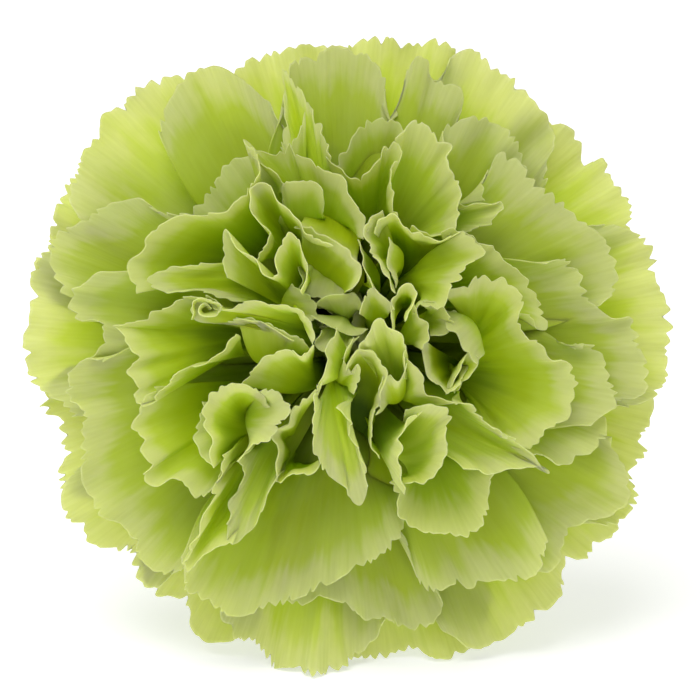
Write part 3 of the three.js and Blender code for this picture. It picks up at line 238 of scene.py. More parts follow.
# Small crumpled petals of the heart
PETALS["heart"] = [
    ("left_apron", 6, [240,321,17, 258,322,18, 277,330,19, 297,339,20, 306,346,20,
     312,352,19], (284,372,13)),
    ("high_hood", 4, [299,227,17, 310,236,18, 322,241,18, 336,248,19, 348,257,20, 357,262,20], (350,206,6)),
    ("left_lobe", 4, [291,289,18, 303,294,19, 313,301,19, 314,311,19, 309,320,18, 303,316,18], (284,304,15)),
    ("deep_left", 4, [292,300,12, 303,305,13, 314,311,14, 319,322,14, 312,336,13, 300,344,12], (296,318,2)),
    ("deep_high", 4, [312,302,13, 326,308,14, 338,311,14, 350,308,14, 362,298,13], (346,262,2)),
    ("deep_low", 4, [310,340,13, 322,330,14, 336,330,14, 348,338,14, 356,352,13], (330,362,2)),
    ("deep_right", 4, [372,348,13, 360,338,14, 356,322,14, 362,306,14, 376,296,13], (394,322,2)),
    ("high_left_fold", 3, [259,263,18, 268,250,18, 274,236,18, 266,229,18, 255,217,17, 252,203,17,
     256,192,16, 263,188,16, 272,192,17, 280,205,18, 292,218,19, 303,232,20, 315,242,21,
     329,251,22], (302,260,8)),
    ("high_arch", 4, [303,231,19, 320,238,20, 334,246,21, 347,256,22, 356,268,23, 359,277,23, 354,286,23,
     346,291,22], (318,298,11)),
    ("left_crest", 4, [232,280,15, 227,262,15, 229,234,16, 236,243,17, 245,252,18, 257,263,19, 268,276,20,
     280,277,21, 281,262,21, 284,245,21, 290,237,21, 297,242,21, 302,256,22, 308,270,22, 306,284,22,
     303,296,22], (308,304,11)),
    ("left_roll", 5, [297,337,20, 277,328,19, 258,320,18, 240,319,17, 222,324,15, 200,319,14, 197,308,15,
     206,301,16, 222,312,17, 235,309,18, 255,304,19, 272,306,20, 290,308,21, 303,315,22, 313,329,22,
     312,343,22], (300,328,17)),
    ("low_left", 4, [243,384,17, 253,375,18, 262,365,19, 272,357,20, 288,352,21, 302,356,22,
     315,348,23], (312,380,14)),
    ("low_strip", 3, [338,331,22, 331,345,22, 329,360,22, 325,374,22, 321,386,21], (346,372,16)),
    ("bottom_hood", 4, [346,372,21, 350,363,22, 354,356,22, 361,351,22, 368,351,22, 375,356,22, 380,364,22,
     383,374,22, 382,386,21, 377,399,20, 371,413,19, 369,429,18, 371,443,17, 378,456,16], (354,418,-3)),
    ("right_loop", 2, [390,331,23, 394,315,23, 393,300,23, 399,291,23, 407,289,23, 413,297,23, 410,308,23,
     403,319,23], (402,311,9)),
    ("right_chip", 2, [422,306,19, 434,306,18, 443,315,18, 450,323,17, 445,332,17,
     428,334,17], (424,320,14)),
    ("right_well", 4, [426,342,19, 424,355,19, 427,368,19, 431,379,19, 441,384,18, 447,391,18, 456,381,17,
     464,366,15, 469,352,13, 470,338,12, 466,325,12, 459,317,13, 451,315,14, 445,321,16], (448,352,0)),
    ("low_right", 3, [404,362,21, 413,368,21, 419,380,20, 422,394,19, 436,397,19, 450,403,18], (404,394,15)),
    ("high_bowl", 5, [377,238,20, 379,226,20, 385,219,20, 392,218,20, 398,223,20, 402,231,20, 409,236,19,
     419,238,18, 431,243,18, 443,242,17, 458,235,16], (407,264,7)),
    ("high_hook", 2, [382,216,19, 372,221,20, 367,235,21, 371,250,22, 378,263,23, 386,275,23,
     394,291,23], (388,262,14)),
    ("centre_loop", 2, [362,316,22, 366,302,22, 374,292,23, 384,301,23, 389,313,23], (376,322,17)),
    ("low_zigzag", 2, [353,341,22, 346,354,22, 345,366,21, 351,375,21, 355,366,22, 358,378,21,
     352,392,20], (340,382,16)),
    ("low_right_chip", 2, [378,412,19, 382,396,20, 383,380,21, 390,377,21, 397,382,21, 402,379,21,
     404,366,22], (394,402,15)),
    ("right_edge", 2, [412,304,22, 415,316,21, 424,328,20, 425,338,20, 417,348,20], (404,340,16)),
    ("right_scroll", 2, [444,390,17, 454,372,17, 460,360,17, 468,352,17, 474,361,16, 465,376,16,
     452,391,16], (446,372,10)),
    ("high_edge", 2, [359,245,21, 363,257,22, 364,270,23, 369,281,23, 374,292,23], (372,286,15)),
    ("high_right_edge", 2, [388,243,20, 390,256,21, 391,270,22, 396,286,22], (400,270,14)),
]
# Those in the middle of the heart
PETALS["centre"] = [
    ("high_apron", 5, [304,268,17, 303,282,18, 304,294,18, 317,296,18, 330,299,18, 341,294,18, 351,290,19,
     357,280,19], (336,262,12)),
    ("left_curl", 2, [197,319,15, 195,308,16.5, 202,301,17.5, 213,300,18, 221,307,18, 219,316,17.5,
     211,318,17.5, 204,313,17.5, 208,306,17.2, 214,309,17], (210,312,9)),
    ("centre_cup", 3, [361,352,22, 363,344,22, 366,336,23, 370,329,23, 374,324,24, 380,324,24, 386,328,24,
     393,332,24, 400,337,24, 405,346,23, 404,360,22, 401,377,21], (397,388,13)),
    ("centre_high", 3, [316,306,18, 330,298,19, 345,297,19, 353,293,19, 360,305,19,
     362,318,19], (346,315,15)),
    ("centre_low", 3, [312,318,19, 326,324,19, 340,330,19, 354,333,19, 366,328,20], (344,319,15)),
    ("centre_fold", 3, [322,330,18, 318,344,18, 328,354,19, 342,356,19, 352,348,20,
     358,336,20], (344,330,15)),
]

# What each kind of petal is like, in the order of PETALS, with lengths in mm.
KIND_VALUES = dict(
    # radius and height of the point that the claw grows from
    root=((4.2, -10), (4.2, -8.5), (3.6, -6), (3.6, -6), (2.6, -2), (1.6, 0)),
    # width of the claw
    claw=(1.4, 1.4, 1.4, 1.4, 1.2, 1.2),
    # how far one side is raised over the other, at the throat and at the rim
    tilt=((0, 0.3), (1.4, 1.6), (0, 0), (0, 0), (0, 0), (0, 0)),
    # how the surface runs out to the rim: outward and upward, of the way from the throat
    flare=((1.2, 0.5), (1.1, 0.7), (0.8, 1.3), (0.8, 1.3), (0.7, 1.4), (0.7, 1.2)),
    # how far the sides swell
    swell=(3.0, 3.0, 0.5, 0.5, 0.2, 0.2),
    # height and width of the folds
    fold=(0.55, 0.5, 0.35, 0.35, 0.25, 0.3),
    wave=(12, 10, 5.5, 5.5, 4, 3),
    # height and width of the crimps along the rim
    crimp=(0.6, 0.55, 0.2, 0.2, 0.14, 0.12),
    crimp_wave=(5, 4.5, 2.6, 2.6, 2.2, 2),
    # depth of the cuts in the rim
    tooth=(1.5, 1.3, 0.9, 0.9, 0.6, 0.35),
    # how far the rim turns out, and how far the teeth of such a rim lean out and in
    lip=(0, 0, 0.45, 0.45, 0.4, 0.15),
    saw=(0, 0, 0.17, 0.17, 0.15, 0.1),
    # share of the folds that is left out at the rim
    calm=(0, 0, 0.75, 0.75, 0.75, 0.5),
    # how far the bends of the rim are evened out in the blade below it
    even=(3.5, 3.5, 2.6, 2.6, 1.6, 1.2),
    # how far the pale margin reaches, how pale it is and how grey the petal may be
    margin=(17, 12, 6.5, 11, 5, 9),
    edging=(1.0, 0.8, 0.35, 0.7, 0.35, 0.6),
    grey=(0.6, 0.32, 0.05, 0.3, 0, 0.4),
    # painted shade that darkens all petals of the kind, or painted light that brightens them where it is less
    # than 0
    dim=(0.5, 1.3, 0, 0.8, -1, -0.5),
)
KINDS = {
    kind: {key: column[i] for key, column in KIND_VALUES.items()} for i, kind in enumerate(PETALS)
}
# What a petal's full name, which seeds its random draws, starts with, if not its kind
FAMILY = {"pale": "inner", "centre": "heart"}
# Where the throats of the outer rings lie: share of the way to the middle of the
# rim, height, and how far they rise and fall with their rims round a middling one
RING_THROAT = {"guard": (0.36, -1.5, 0.6), "second": (0.38, 3, 0)}
MIDDLING_RIM = -3.5
THROAT_BOW = 0.25  # how far a throat's ends bend towards the rim, as a share of its width
THICKNESS_MM = (0.36, 0.1)  # of a petal's claw and rim
# How far from the rim each of these reaches, in mm
CALM_REACH = 2
CRIMP_REACH = 4
PLEAT_REACH = 14
LIP_REACH = 0.7
TOOTH_REACH = 0.8
SAW_REACH = 0.6
FOLD_DRIFT, CRIMP_DRIFT, PLEAT_DRIFT = 0.3, 0.25, 0.08  # how much each strays down the blade
PLEAT, PLEAT_WIDTH = 0.22, 1.6  # height and width of the pleats, as shares of the crimps'
SAW_MIDDLE = 0.4  # share of its teeth that leans out
TOOTH_SPACING = (0.6, 2.2)  # mm along the rim
HOLLOW = 0.45  # depth of the hollow below a lip, as a share of the lip
HOLLOW_AT, HOLLOW_REACH = 1.8, 1.2  # how far from the rim it lies, and how far it reaches
# The meshes
COLUMN_MM = 0.22  # spacing of a petal's columns along its rim
MOST_COLUMNS = 190
CURVE_STEPS = 24  # between two given points of a rim
CLAW_START = 0.1  # share of the way up the claw at which its rows start
CLAW_ROWS, BLADE_ROWS = 8, 30
CROWDING = 1.3  # over 1: the rows lie closer towards the rim
MOST_FACES = 85_000  # in one piece, before they are cut into triangles


def rim_curve(points, count):
    """A centripetal Catmull-Rom curve through points, evenly spaced, and its length."""
    p = np.concatenate([[2 * points[0] - points[1]], points, [2 * points[-1] - points[-2]]])
    fine = []
    for i in range(1, len(p) - 2):
        p0, p1, p2, p3 = p[i - 1 : i + 3]
        steps = (p1 - p0, p2 - p1, p3 - p2)
        d0, d1, d2 = (max(np.sqrt(np.linalg.norm(step)), 1e-4) for step in steps)
        t1 = ((p1 - p0) / d0 - (p2 - p0) / (d0 + d1) + (p2 - p1) / d1) * d1
        t2 = ((p2 - p1) / d1 - (p3 - p1) / (d1 + d2) + (p3 - p2) / d2) * d1
        u = np.linspace(0, 1, CURVE_STEPS, endpoint=False)[:, None]
        fine.append(
            p1 * (2 * u**3 - 3 * u**2 + 1) + t1 * (u**3 - 2 * u**2 + u)
            + p2 * (3 * u**2 - 2 * u**3) + t2 * (u**3 - u**2)
        )
    fine = np.concatenate(fine + [points[-1:]])
    run = np.concatenate([[0], np.cumsum(np.linalg.norm(np.diff(fine, axis=0), axis=1))])
    at = np.linspace(0, run[-1], count)
    return np.stack([np.interp(at, run, fine[:, k]) for k in range(3)], 1), run[-1]


def soften(curve, spacing, reach):
    """The same curve with its bends evened out over the given reach."""
    half = min(int(3 * reach / spacing), len(curve) - 2)
    weight = np.exp(-0.5 * (np.arange(-half, half + 1) * spacing / reach) ** 2)
    lead = 2 * curve[0] - curve[half:0:-1]
    tail = 2 * curve[-1] - curve[-2 : -half - 2 : -1]
    padded = np.concatenate([lead, curve, tail])
    return np.stack([np.convolve(padded[:, k], weight / weight.sum(), "valid") for k in range(3)], 1)


def teeth(length, count, rng):
    """The cut margin: how far each point of the rim is drawn in, from 0 to -1."""
    at, drawn = [0.0], [0.0]
    while at[-1] < length:
        step = rng.uniform(*TOOTH_SPACING)
        notch = at[-1] + step * rng.uniform(0.25, 0.75)
        at += [notch, at[-1] + step]
        drawn += [rng.uniform(0.2, 1.0) ** 1.3, rng.uniform(0, 0.25)]
    return -(np.interp(np.linspace(0, length, count), at, drawn) ** 1.4)


def wobble(x, y, size, rng):
    """Smooth random ups and downs of about the given size, about 1 high."""
    total = 0
    for _ in range(6):
        angle = rng.uniform(0, math.tau)
        pitch = math.tau / (size * rng.uniform(0.75, 1.8))
        way = x * math.cos(angle) + y * math.sin(angle)
        total = total + np.sin(way * pitch + rng.uniform(0, math.tau))
    return total / 2.2


def bezier(t, a, b, c, d):
    return (1 - t) ** 3 * a + 3 * t * (1 - t) ** 2 * b + 3 * t**2 * (1 - t) * c + t**3 * d


def normals(grid):
    return unit(np.cross(np.gradient(grid, axis=0), np.gradient(grid, axis=1)))


def throat_place(kind_name, throat, centre):
    if throat:
        return seen(throat)[0]
    share, height, follow = RING_THROAT[kind_name]
    height += follow * (centre[2] - MIDDLING_RIM)
    return np.array([centre[0] * share, centre[1] * share, height])


def plain_blade(kind, throat, throat_width, points, rim, length):
    """A petal's surface before it is ruffled, rows from claw to rim, and how far
    each row lies from the throat to the rim."""
    centre = points.mean(0)
    out = unit(throat * LEVEL)
    facing = (centre - throat) * LEVEL
    if np.linalg.norm(facing) < 1:
        facing = out
    a, b = points[:-1] - throat, points[1:] - throat
    side = 1 if (a[:, 0] * b[:, 1] - a[:, 1] * b[:, 0]).sum() >= 0 else -1
    across = unit(np.array([-facing[1], facing[0], 0])) * side
    low_tilt, rim_tilt = (-side * HEIGHT * height for height in kind["tilt"])
    root_out, root_height = kind["root"]
    flare_out, flare_up = kind["flare"]

    t = np.linspace(0, 1, len(rim))[None, :, None]
    start = out * root_out + HEIGHT * root_height + across * kind["claw"] * (t - 0.5)
    via = throat + across * throat_width * (t - 0.5) + low_tilt * (t - 0.5)
    via = via + unit(facing) * throat_width * THROAT_BOW * (2 * t - 1) ** 2
    to = rim[None] + rim_tilt * (t - 0.5)
    onward = unit(unit(via - start) + unit(to - via))
    claw_length = np.linalg.norm(via - start, axis=-1, keepdims=True)
    blade_length = np.linalg.norm(to - via, axis=-1, keepdims=True)

    u = np.linspace(CLAW_START, 1, CLAW_ROWS, endpoint=False)[:, None, None]
    claw = bezier(u, start, start + HEIGHT * claw_length / 3, via - onward * claw_length / 3, via)
    v = 1 - (1 - np.linspace(0, 1, BLADE_ROWS + 1)[:, None, None]) ** CROWDING
    even = soften(rim, length / (len(rim) - 1), min(kind["even"], length / 6))
    to = even[None] + (rim - even)[None] * v**2.5 + rim_tilt * (t - 0.5)
    flare = np.array([flare_out, flare_out, flare_up])
    blade = bezier(v, via, via + onward * blade_length / 3, to - (to - via) * flare / 3, to)
    return np.concatenate([claw, blade]), np.concatenate([0 * u, v])


def petal_grid(kind_name, name, throat_width, rim_points, throat=None):
    """A petal's mid-surface, rows from claw to rim, and the layers for its shading."""
    kind = KINDS[kind_name]
    full_name = FAMILY.get(kind_name, kind_name) + "_" + name
    rng = np.random.default_rng(sum(ord(c) * (i + 7) for i, c in enumerate(full_name)))
    points = seen(rim_points)
    rough = np.linalg.norm(np.diff(points, axis=0), axis=1).sum()
    count = min(int(rough / COLUMN_MM), MOST_COLUMNS) + 1
    rim, length = rim_curve(points, count)
    throat = throat_place(kind_name, throat, points.mean(0))
    grid, s = plain_blade(kind, throat, throat_width, points, rim, length)

    t = np.linspace(0, 1, count)[None, :, None]
    run = np.broadcast_to(t[..., 0] * length, grid.shape[:2])
    edge = np.linalg.norm(grid - grid[-1:], axis=-1)
    sideways = unit(grid[:, -1:] - grid[:, :1])
    aside = (2 * t - 1) * np.abs(2 * t - 1) ** 3
    grid = grid + sideways * kind["swell"] * aside * np.sin(math.pi * s**0.8)
    s = s[..., 0]
    normal = normals(grid)
    fold = wobble(run, edge * FOLD_DRIFT, kind["wave"], rng) * s**1.2
    fold = fold * (1 - kind["calm"] * near(edge, CALM_REACH))
    crimp = wobble(run, edge * CRIMP_DRIFT, kind["crimp_wave"], rng) * near(edge, CRIMP_REACH) * s
    pleat = 1 - np.abs(wobble(run, edge * PLEAT_DRIFT, kind["crimp_wave"] * PLEAT_WIDTH, rng))
    pleat = PLEAT * np.clip(pleat, 0, 1) ** 2 * s * near(edge, PLEAT_REACH)
    grid = grid + normal * (kind["fold"] * fold + kind["crimp"] * (crimp + pleat))[..., None]

    lip_way = unit((rim - throat) * LEVEL)[None]
    hollow = HOLLOW * np.exp(-(((edge - HOLLOW_AT) / HOLLOW_REACH) ** 2))
    grid = grid + lip_way * kind["lip"] * (near(edge, LIP_REACH) - hollow)[..., None]
    outward = unit(grid[-1] - grid[-4])
    cut = teeth(length, count, rng)[None, :, None]
    grid = grid + outward[None] * kind["tooth"] * cut * near(edge, TOOTH_REACH)[..., None]
    grid = grid + lip_way * kind["saw"] * (cut + SAW_MIDDLE) * near(edge, SAW_REACH)[..., None]

    edge = np.linalg.norm(grid - grid[-1:], axis=-1)
    whole = np.ones(edge.shape)
    return grid, dict(
        across=run,
        edge=edge,
        along=np.broadcast_to(s, edge.shape),
        depth=edge / kind["margin"],
        # a random tone of the petal, plus its kind's painted shade (painted light where dim is below 0)
        tone_and_painted_shade=whole * (kind["dim"] + rng.uniform(-1, 1)),
        grey=whole * kind["grey"] * rng.uniform(0.4, 1),
        edging=whole * kind["edging"],
        seed=whole * rng.uniform(0, 50),
    )


# A part of a mesh is its points, its faces, which of them are flat, and the layers
# of values at its points that its material reads.


def quads(index):
    """The faces between the rows and columns of a grid of point numbers."""
    corners = index[:-1, :-1], index[:-1, 1:], index[1:, 1:], index[1:, :-1]
    return np.stack(corners, -1).reshape(-1, 4)


def closed_blade(grid, thickness, layers):
    """A thin closed blade round a grid, as a part."""
    n = math.prod(grid.shape[:2])
    half = normals(grid) * thickness / 2
    points = np.concatenate([(grid + half).reshape(-1, 3), (grid - half).reshape(-1, 3)])
    index = np.arange(n).reshape(grid.shape[:2])
    sheet = quads(index)
    loop = np.concatenate([index[0, :-1], index[:-1, -1], index[-1, :0:-1], index[:0:-1, 0]])
    ahead = np.roll(loop, -1)
    border = np.stack([loop, loop + n, ahead + n, ahead], -1)
    faces = np.concatenate([sheet[:, ::-1], sheet + n, border[:, ::-1]])
    flat = np.arange(len(faces)) >= 2 * len(sheet)
    return points, faces, flat, {key: np.tile(values.ravel(), 2) for key, values in layers.items()}


def joined(parts):
    """Several parts as one."""
    points, faces, flat, layers = zip(*parts)
    offsets = np.cumsum([0] + [len(p) for p in points])
    faces = [f + offset for f, offset in zip(faces, offsets)]
    layers = {key: np.concatenate([part[key] for part in layers]) for key in layers[0]}
    return *map(np.concatenate, (points, faces, flat)), layers


def placed(name, data):
    thing = bpy.data.objects.new(name, data)
    scene.collection.objects.link(thing)
    return thing


def add_mesh(name, part, material):
    points, faces, flat, layers = part
    mesh = bpy.data.meshes.new(name)
    mesh.vertices.add(len(points))
    mesh.vertices.foreach_set("co", to_row(points).astype(np.float32).ravel())
    mesh.loops.add(faces.size)
    mesh.loops.foreach_set("vertex_index", faces.astype(np.int32).ravel())
    mesh.polygons.add(len(faces))
    mesh.polygons.foreach_set("loop_start", np.arange(0, faces.size, 4, dtype=np.int32))
    mesh.polygons.foreach_set("use_smooth", ~flat)
    for key, values in layers.items():
        layer = mesh.attributes.new(key, "FLOAT", "POINT")
        layer.data.foreach_set("value", values.astype(np.float32).ravel())
    mesh.update()
    mesh.validate()
    mesh.materials.append(material)
    piece = placed(name, mesh)
    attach(piece, "root")
    return piece


def petal_blade(kind_name, petal):
    grid, layers = petal_grid(kind_name, *petal)
    thickness = np.interp(layers["along"], (0, 1), THICKNESS_MM)[..., None]
    return closed_blade(grid, thickness, layers)


def add_petals(kind_name, material):
    """All petals of one kind, in as many pieces as their fine meshes need."""
    blades = [petal_blade(kind_name, petal) for petal in PETALS[kind_name]]
    count = math.ceil(sum(len(blade[1]) for blade in blades) / MOST_FACES)
    for i in range(count):
        first, last = len(blades) * i // count, len(blades) * (i + 1) // count
        name = "petals_" + kind_name + (f"_{i + 1}" if count > 1 else "")
        piece = add_mesh(name, joined(blades[first:last]), material)
        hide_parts("bloom")


# ---- behind the bloom

# Outer radius of the calyx by height over its foot, up to where it is straight.
CALYX_PROFILE = [(3.2, 0), (5.2, 1.2), (6.4, 4.5), (CALYX_RADIUS - 0.1, 10), (CALYX_RADIUS, 18)]
CLAWS_RADIUS = CALYX_RADIUS - 1.3
TEETH = 5
TOOTH_ROOT = CALYX_MOUTH - TOOTH_LENGTH - 1
TOOTH_FLARE = 0.2
TOOTH_CURVE = 1.3
RIBS = 45  # fine nerves round the calyx
RIB_HEIGHT = 0.035
BRACT_COUNT = 4
BRACT_LENGTH = 11
BRACT_FOOT = 1.4
BRACT_SPREAD = 0.95  # half of the angle that a bract spans at its foot
BRACT_TURN = 0.5
OVER_LIFT = 0.45  # of the second pair of bracts over the first
OVER_SHORTER = 2
INSIDE_BRACTS = 3.0  # distance from a margin that is given to the ring under the bracts
JOINT_HEIGHT = CALYX_FOOT - 40
JOINT_RADIUS = 3.2
STEM_TOP = CALYX_FOOT - FIT
STEM_END = -(ORIGIN[2] - STEM_RADIUS * math.cos(LEAN)) / math.sin(LEAN)
STEM_BEND = 1.2
STEM_RIDGES = 9
LEAF_THICKNESS = 0.7
LEAF_HALF_WIDTH = 2.6
LEAF_CHANNEL = 6  # radius of the channel along its middle
LEAF_CLASP = 1.35  # half of the angle by which its foot clasps the stem
LEAF_SPREAD = 18
NO_MARGIN = 40  # distance from a margin that is given to the claws, which have none


def turns(sides):
    return np.linspace(0, math.tau, sides, endpoint=False)


def turned_grid(profile, sides):
    """A profile of (radius, height) turned round the axis, one row per point."""
    angle = turns(sides)[None]
    radius, height = np.array(profile, float).T[:, :, None]
    return np.stack([radius * np.cos(angle), radius * np.sin(angle), height + 0 * angle], -1)


def widened(grid, by):
    """A turned grid, each of its points moved outward by the given distance."""
    return grid + unit(grid * LEVEL) * by[..., None]


def turned_faces(grid):
    """Faces of a turned grid, its first and last rows closed by flat caps."""
    rows, sides = grid.shape[:2]
    index = np.arange(rows * sides).reshape(rows, sides)
    walls = quads(np.concatenate([index, index[:, :1]], 1))
    i = np.arange(sides // 2 - 1)
    cap = np.stack([i, sides - 1 - i, sides - 2 - i, i + 1], -1)
    return np.concatenate([walls, cap, cap[:, ::-1] + (rows - 1) * sides]), len(walls)


def add_turned(name, grid, material, node, attributes, end_material=None):
    """A turned piece in the place of a CAD node. The first cap may have its own material."""
    faces, walls = turned_faces(grid)
    layers = {key: np.broadcast_to(values, grid.shape[:2]) for key, values in attributes.items()}
    part = grid.reshape(-1, 3), faces, np.arange(len(faces)) >= walls, layers
    piece = add_mesh(name, part, material)
    if end_material:
        piece.data.materials.append(end_material)
        which = np.zeros(len(faces), np.int32)
        which[walls : (walls + len(faces)) // 2] = 1
        piece.data.polygons.foreach_set("material_index", which)
    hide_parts(node)


def calyx_radius(up):
    radius, height = np.array(CALYX_PROFILE, float).T
    return np.interp(up, height, radius)


def mouth_height(angle):
    """Height of the calyx mouth round the tube, with its five pointed teeth."""
    phase = (angle * TEETH / math.tau) % 1
    rise = 1 - np.abs(2 * phase - 1)
    return CALYX_MOUTH - TOOTH_LENGTH * (1 - rise**TOOTH_CURVE)


def add_calyx(material):
    sides = TEETH * 56
    outer = [(calyx_radius(up), CALYX_FOOT + up) for up in np.linspace(0, 24, 60)]
    tooth = [(CALYX_RADIUS, h) for h in np.linspace(TOOTH_ROOT, CALYX_MOUTH, 26)[1:]]
    lining = [(CLAWS_RADIUS + FIT, h) for h in np.linspace(CALYX_MOUTH, TOOTH_ROOT, 14)]
    floor = [(CLAWS_RADIUS + FIT, CALYX_MOUTH - 10), (5.5, CALYX_FOOT + 6.6), (3.9, CALYX_FOOT + 1.6)]
    grid = turned_grid(outer + tooth + lining + floor, sides)
    angle = turns(sides)[None]
    top = mouth_height(angle)
    share = np.clip((grid[..., 2] - TOOTH_ROOT) / (CALYX_MOUTH - TOOTH_ROOT), 0, 1)
    grid[..., 2] = np.where(share > 0, TOOTH_ROOT + share * (top - TOOTH_ROOT), grid[..., 2])
    edge = np.clip(top - grid[..., 2], 0, None)
    outside = (np.arange(len(grid)) < len(outer) + len(tooth))[:, None]
    rib = RIB_HEIGHT * np.cos(angle * RIBS) * smooth(1, 6, grid[..., 2] - CALYX_FOOT)
    flare = TOOTH_FLARE * smooth(TOOTH_ROOT, CALYX_MOUTH, grid[..., 2])
    thin = 0.12 * near(edge, 0.4)
    grid = widened(grid, np.where(outside, flare - 0.05 + rib - thin, np.minimum(flare, 0.1) + thin))
    layers = dict(across=angle * CALYX_RADIUS, edge=edge, height=grid[..., 2] - CALYX_FOOT)
    add_turned("calyx_tube", grid, material, "calyx", layers)


def bract(angle, lift, length):
    """One pointed scale, close round the foot of the calyx."""
    v = np.linspace(0, 1, 61)[:, None]
    t = np.linspace(-1, 1, 49)[None]
    up = BRACT_FOOT + v * length
    half = BRACT_SPREAD * np.sqrt(np.maximum(1 - v**2.2, 0)) * (1 - 0.25 * v) + 0.03
    radius = calyx_radius(up) + FIT + LEAF_THICKNESS / 2 + lift + 0.6 * v**3
    around = angle + half * t
    grid = np.stack([radius * np.cos(around), radius * np.sin(around), CALYX_FOOT + up + 0 * t], -1)
    edge = np.minimum((1 - np.abs(t)) * half * radius, (1 - v) * length + 0 * t)
    thickness = (0.16 + 0.5 * smooth(0, 1.6, edge))[..., None]
    return closed_blade(grid, thickness, dict(across=t * half * radius, edge=edge, height=up + 0 * t))


def bract_ring():
    """The rounded ring that carries the bracts, round the foot of the calyx."""
    gap = FIT + 0.05
    (foot_r, _), (side_r, side_up), (top_r, top_up) = CALYX_PROFILE[:3]
    section = np.array([
        (foot_r + 0.1, -0.9), (foot_r + 0.1, -gap), (side_r + gap, side_up - gap),
        (top_r + gap, top_up - 0.6), (top_r + gap + 1, top_up - 0.6), (side_r + gap + 1, side_up - 1.1),
    ])
    for _ in range(3):
        ahead = np.roll(section, -1, 0)
        corners = [0.75 * section + 0.25 * ahead, 0.25 * section + 0.75 * ahead]
        section = np.stack(corners, 1).reshape(-1, 2)
    ring = turned_grid(section + np.array([0, CALYX_FOOT]), 96)
    rows, sides = ring.shape[:2]
    index = np.arange(rows * sides).reshape(rows, sides)
    faces = quads(np.pad(index, (0, 1), "wrap"))[:, [0, 3, 2, 1]]
    layers = dict(
        across=np.tile(turns(sides) * side_r, rows),
        edge=np.full(rows * sides, INSIDE_BRACTS),
        height=(ring[..., 2] - CALYX_FOOT).ravel(),
    )
    return ring.reshape(-1, 3), faces, np.zeros(len(faces), bool), layers


def add_bracts(material):
    parts = []
    for k, angle in enumerate(turns(BRACT_COUNT) + BRACT_TURN):
        over = k % 2
        parts.append(bract(angle, over * OVER_LIFT, BRACT_LENGTH - over * OVER_SHORTER))
    piece = add_mesh("bract_scales", joined(parts + [bract_ring()]), material)
    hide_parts("bracts")


def stem_centre(height):
    return STEM_BEND * np.sin(math.pi * (STEM_TOP - height) / (STEM_TOP - STEM_END)) ** 2


def stem_radius(height):
    swelling = (JOINT_RADIUS - STEM_RADIUS) * np.exp(-(((height - JOINT_HEIGHT) / 3.5) ** 2))
    return STEM_RADIUS + swelling + 0.5 * near(STEM_TOP - height, 3)


def add_stem(material, pith):
    sides = 96
    heights = np.linspace(STEM_TOP, STEM_END, 150)
    grid = turned_grid([(stem_radius(h), h) for h in heights], sides)
    angle = turns(sides)[None]
    ridge = 0.03 * np.cos(STEM_RIDGES * angle + 0.02 * heights[:, None]) - 0.03
    groove = -0.16 * np.exp(-(((heights[:, None] - JOINT_HEIGHT - 0.6) / 0.35) ** 2))
    grid = widened(grid, ridge + groove)
    grid[..., 0] += stem_centre(heights)[:, None]
    up = heights[::-1, None]
    layers = dict(across=angle * STEM_RADIUS, edge=np.abs(up - JOINT_HEIGHT), height=up)
    add_turned("stem_shaft", grid[::-1], material, "stem", layers, pith)


def add_leaf(side, material):
    """A narrow channelled leaf: it clasps the joint and bends away from the stem."""
    inner = JOINT_RADIUS + FIT + LEAF_THICKNESS / 2 + 0.1
    spine = np.array([
        (inner, 0, JOINT_HEIGHT - 1), (inner + 0.5, 0, JOINT_HEIGHT + 5),
        (inner + 4, 0.6, JOINT_HEIGHT + 0.42 * LEAF_LENGTH),
        (inner + 11, 1, JOINT_HEIGHT + 0.68 * LEAF_LENGTH),
        (inner + LEAF_SPREAD, 0.4, JOINT_HEIGHT + 0.8 * LEAF_LENGTH),
    ])
    rows = 120
    middle, _ = rim_curve(spine, rows + 1)
    ahead = unit(np.gradient(middle, axis=0))
    out = unit(np.stack([ahead[:, 2], 0 * ahead[:, 0], -ahead[:, 0]], -1))
    v = np.linspace(0, 1, rows + 1)[:, None]
    t = np.linspace(-1, 1, 41)[None]
    opened = np.clip(v / 0.16, 0, 1)
    radius = inner + (LEAF_CHANNEL - inner) * opened
    taper = 1 - (np.clip(v - 0.3, 0, None) / 0.72) ** 1.5
    clasp = LEAF_CLASP * inner
    half = (clasp + (LEAF_HALF_WIDTH - clasp) * opened) * taper + 0.08
    angle = half / radius * t
    back = radius * (np.cos(angle) - 1)
    grid = middle[:, None] + out[:, None] * back[..., None]
    grid[..., 1] += radius * np.sin(angle)
    edge = (1 - np.abs(t)) * half
    keel = 0.22 * np.exp(-((t * half / 0.28) ** 2)) * np.minimum(1, half / 1.2)
    thickness = (0.14 + 0.3 * smooth(0, 1.2, edge) + keel)[..., None]
    grid[..., 0] = side * grid[..., 0] + stem_centre(JOINT_HEIGHT)
    grid[..., 1] *= side
    layers = dict(across=t * half + 0 * v, edge=edge, height=v * LEAF_LENGTH + 0 * t)
    name = "leaf_left" if side < 0 else "leaf_right"
    piece = add_mesh(name + "_blade", closed_blade(grid, thickness, layers), material)
    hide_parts(name)


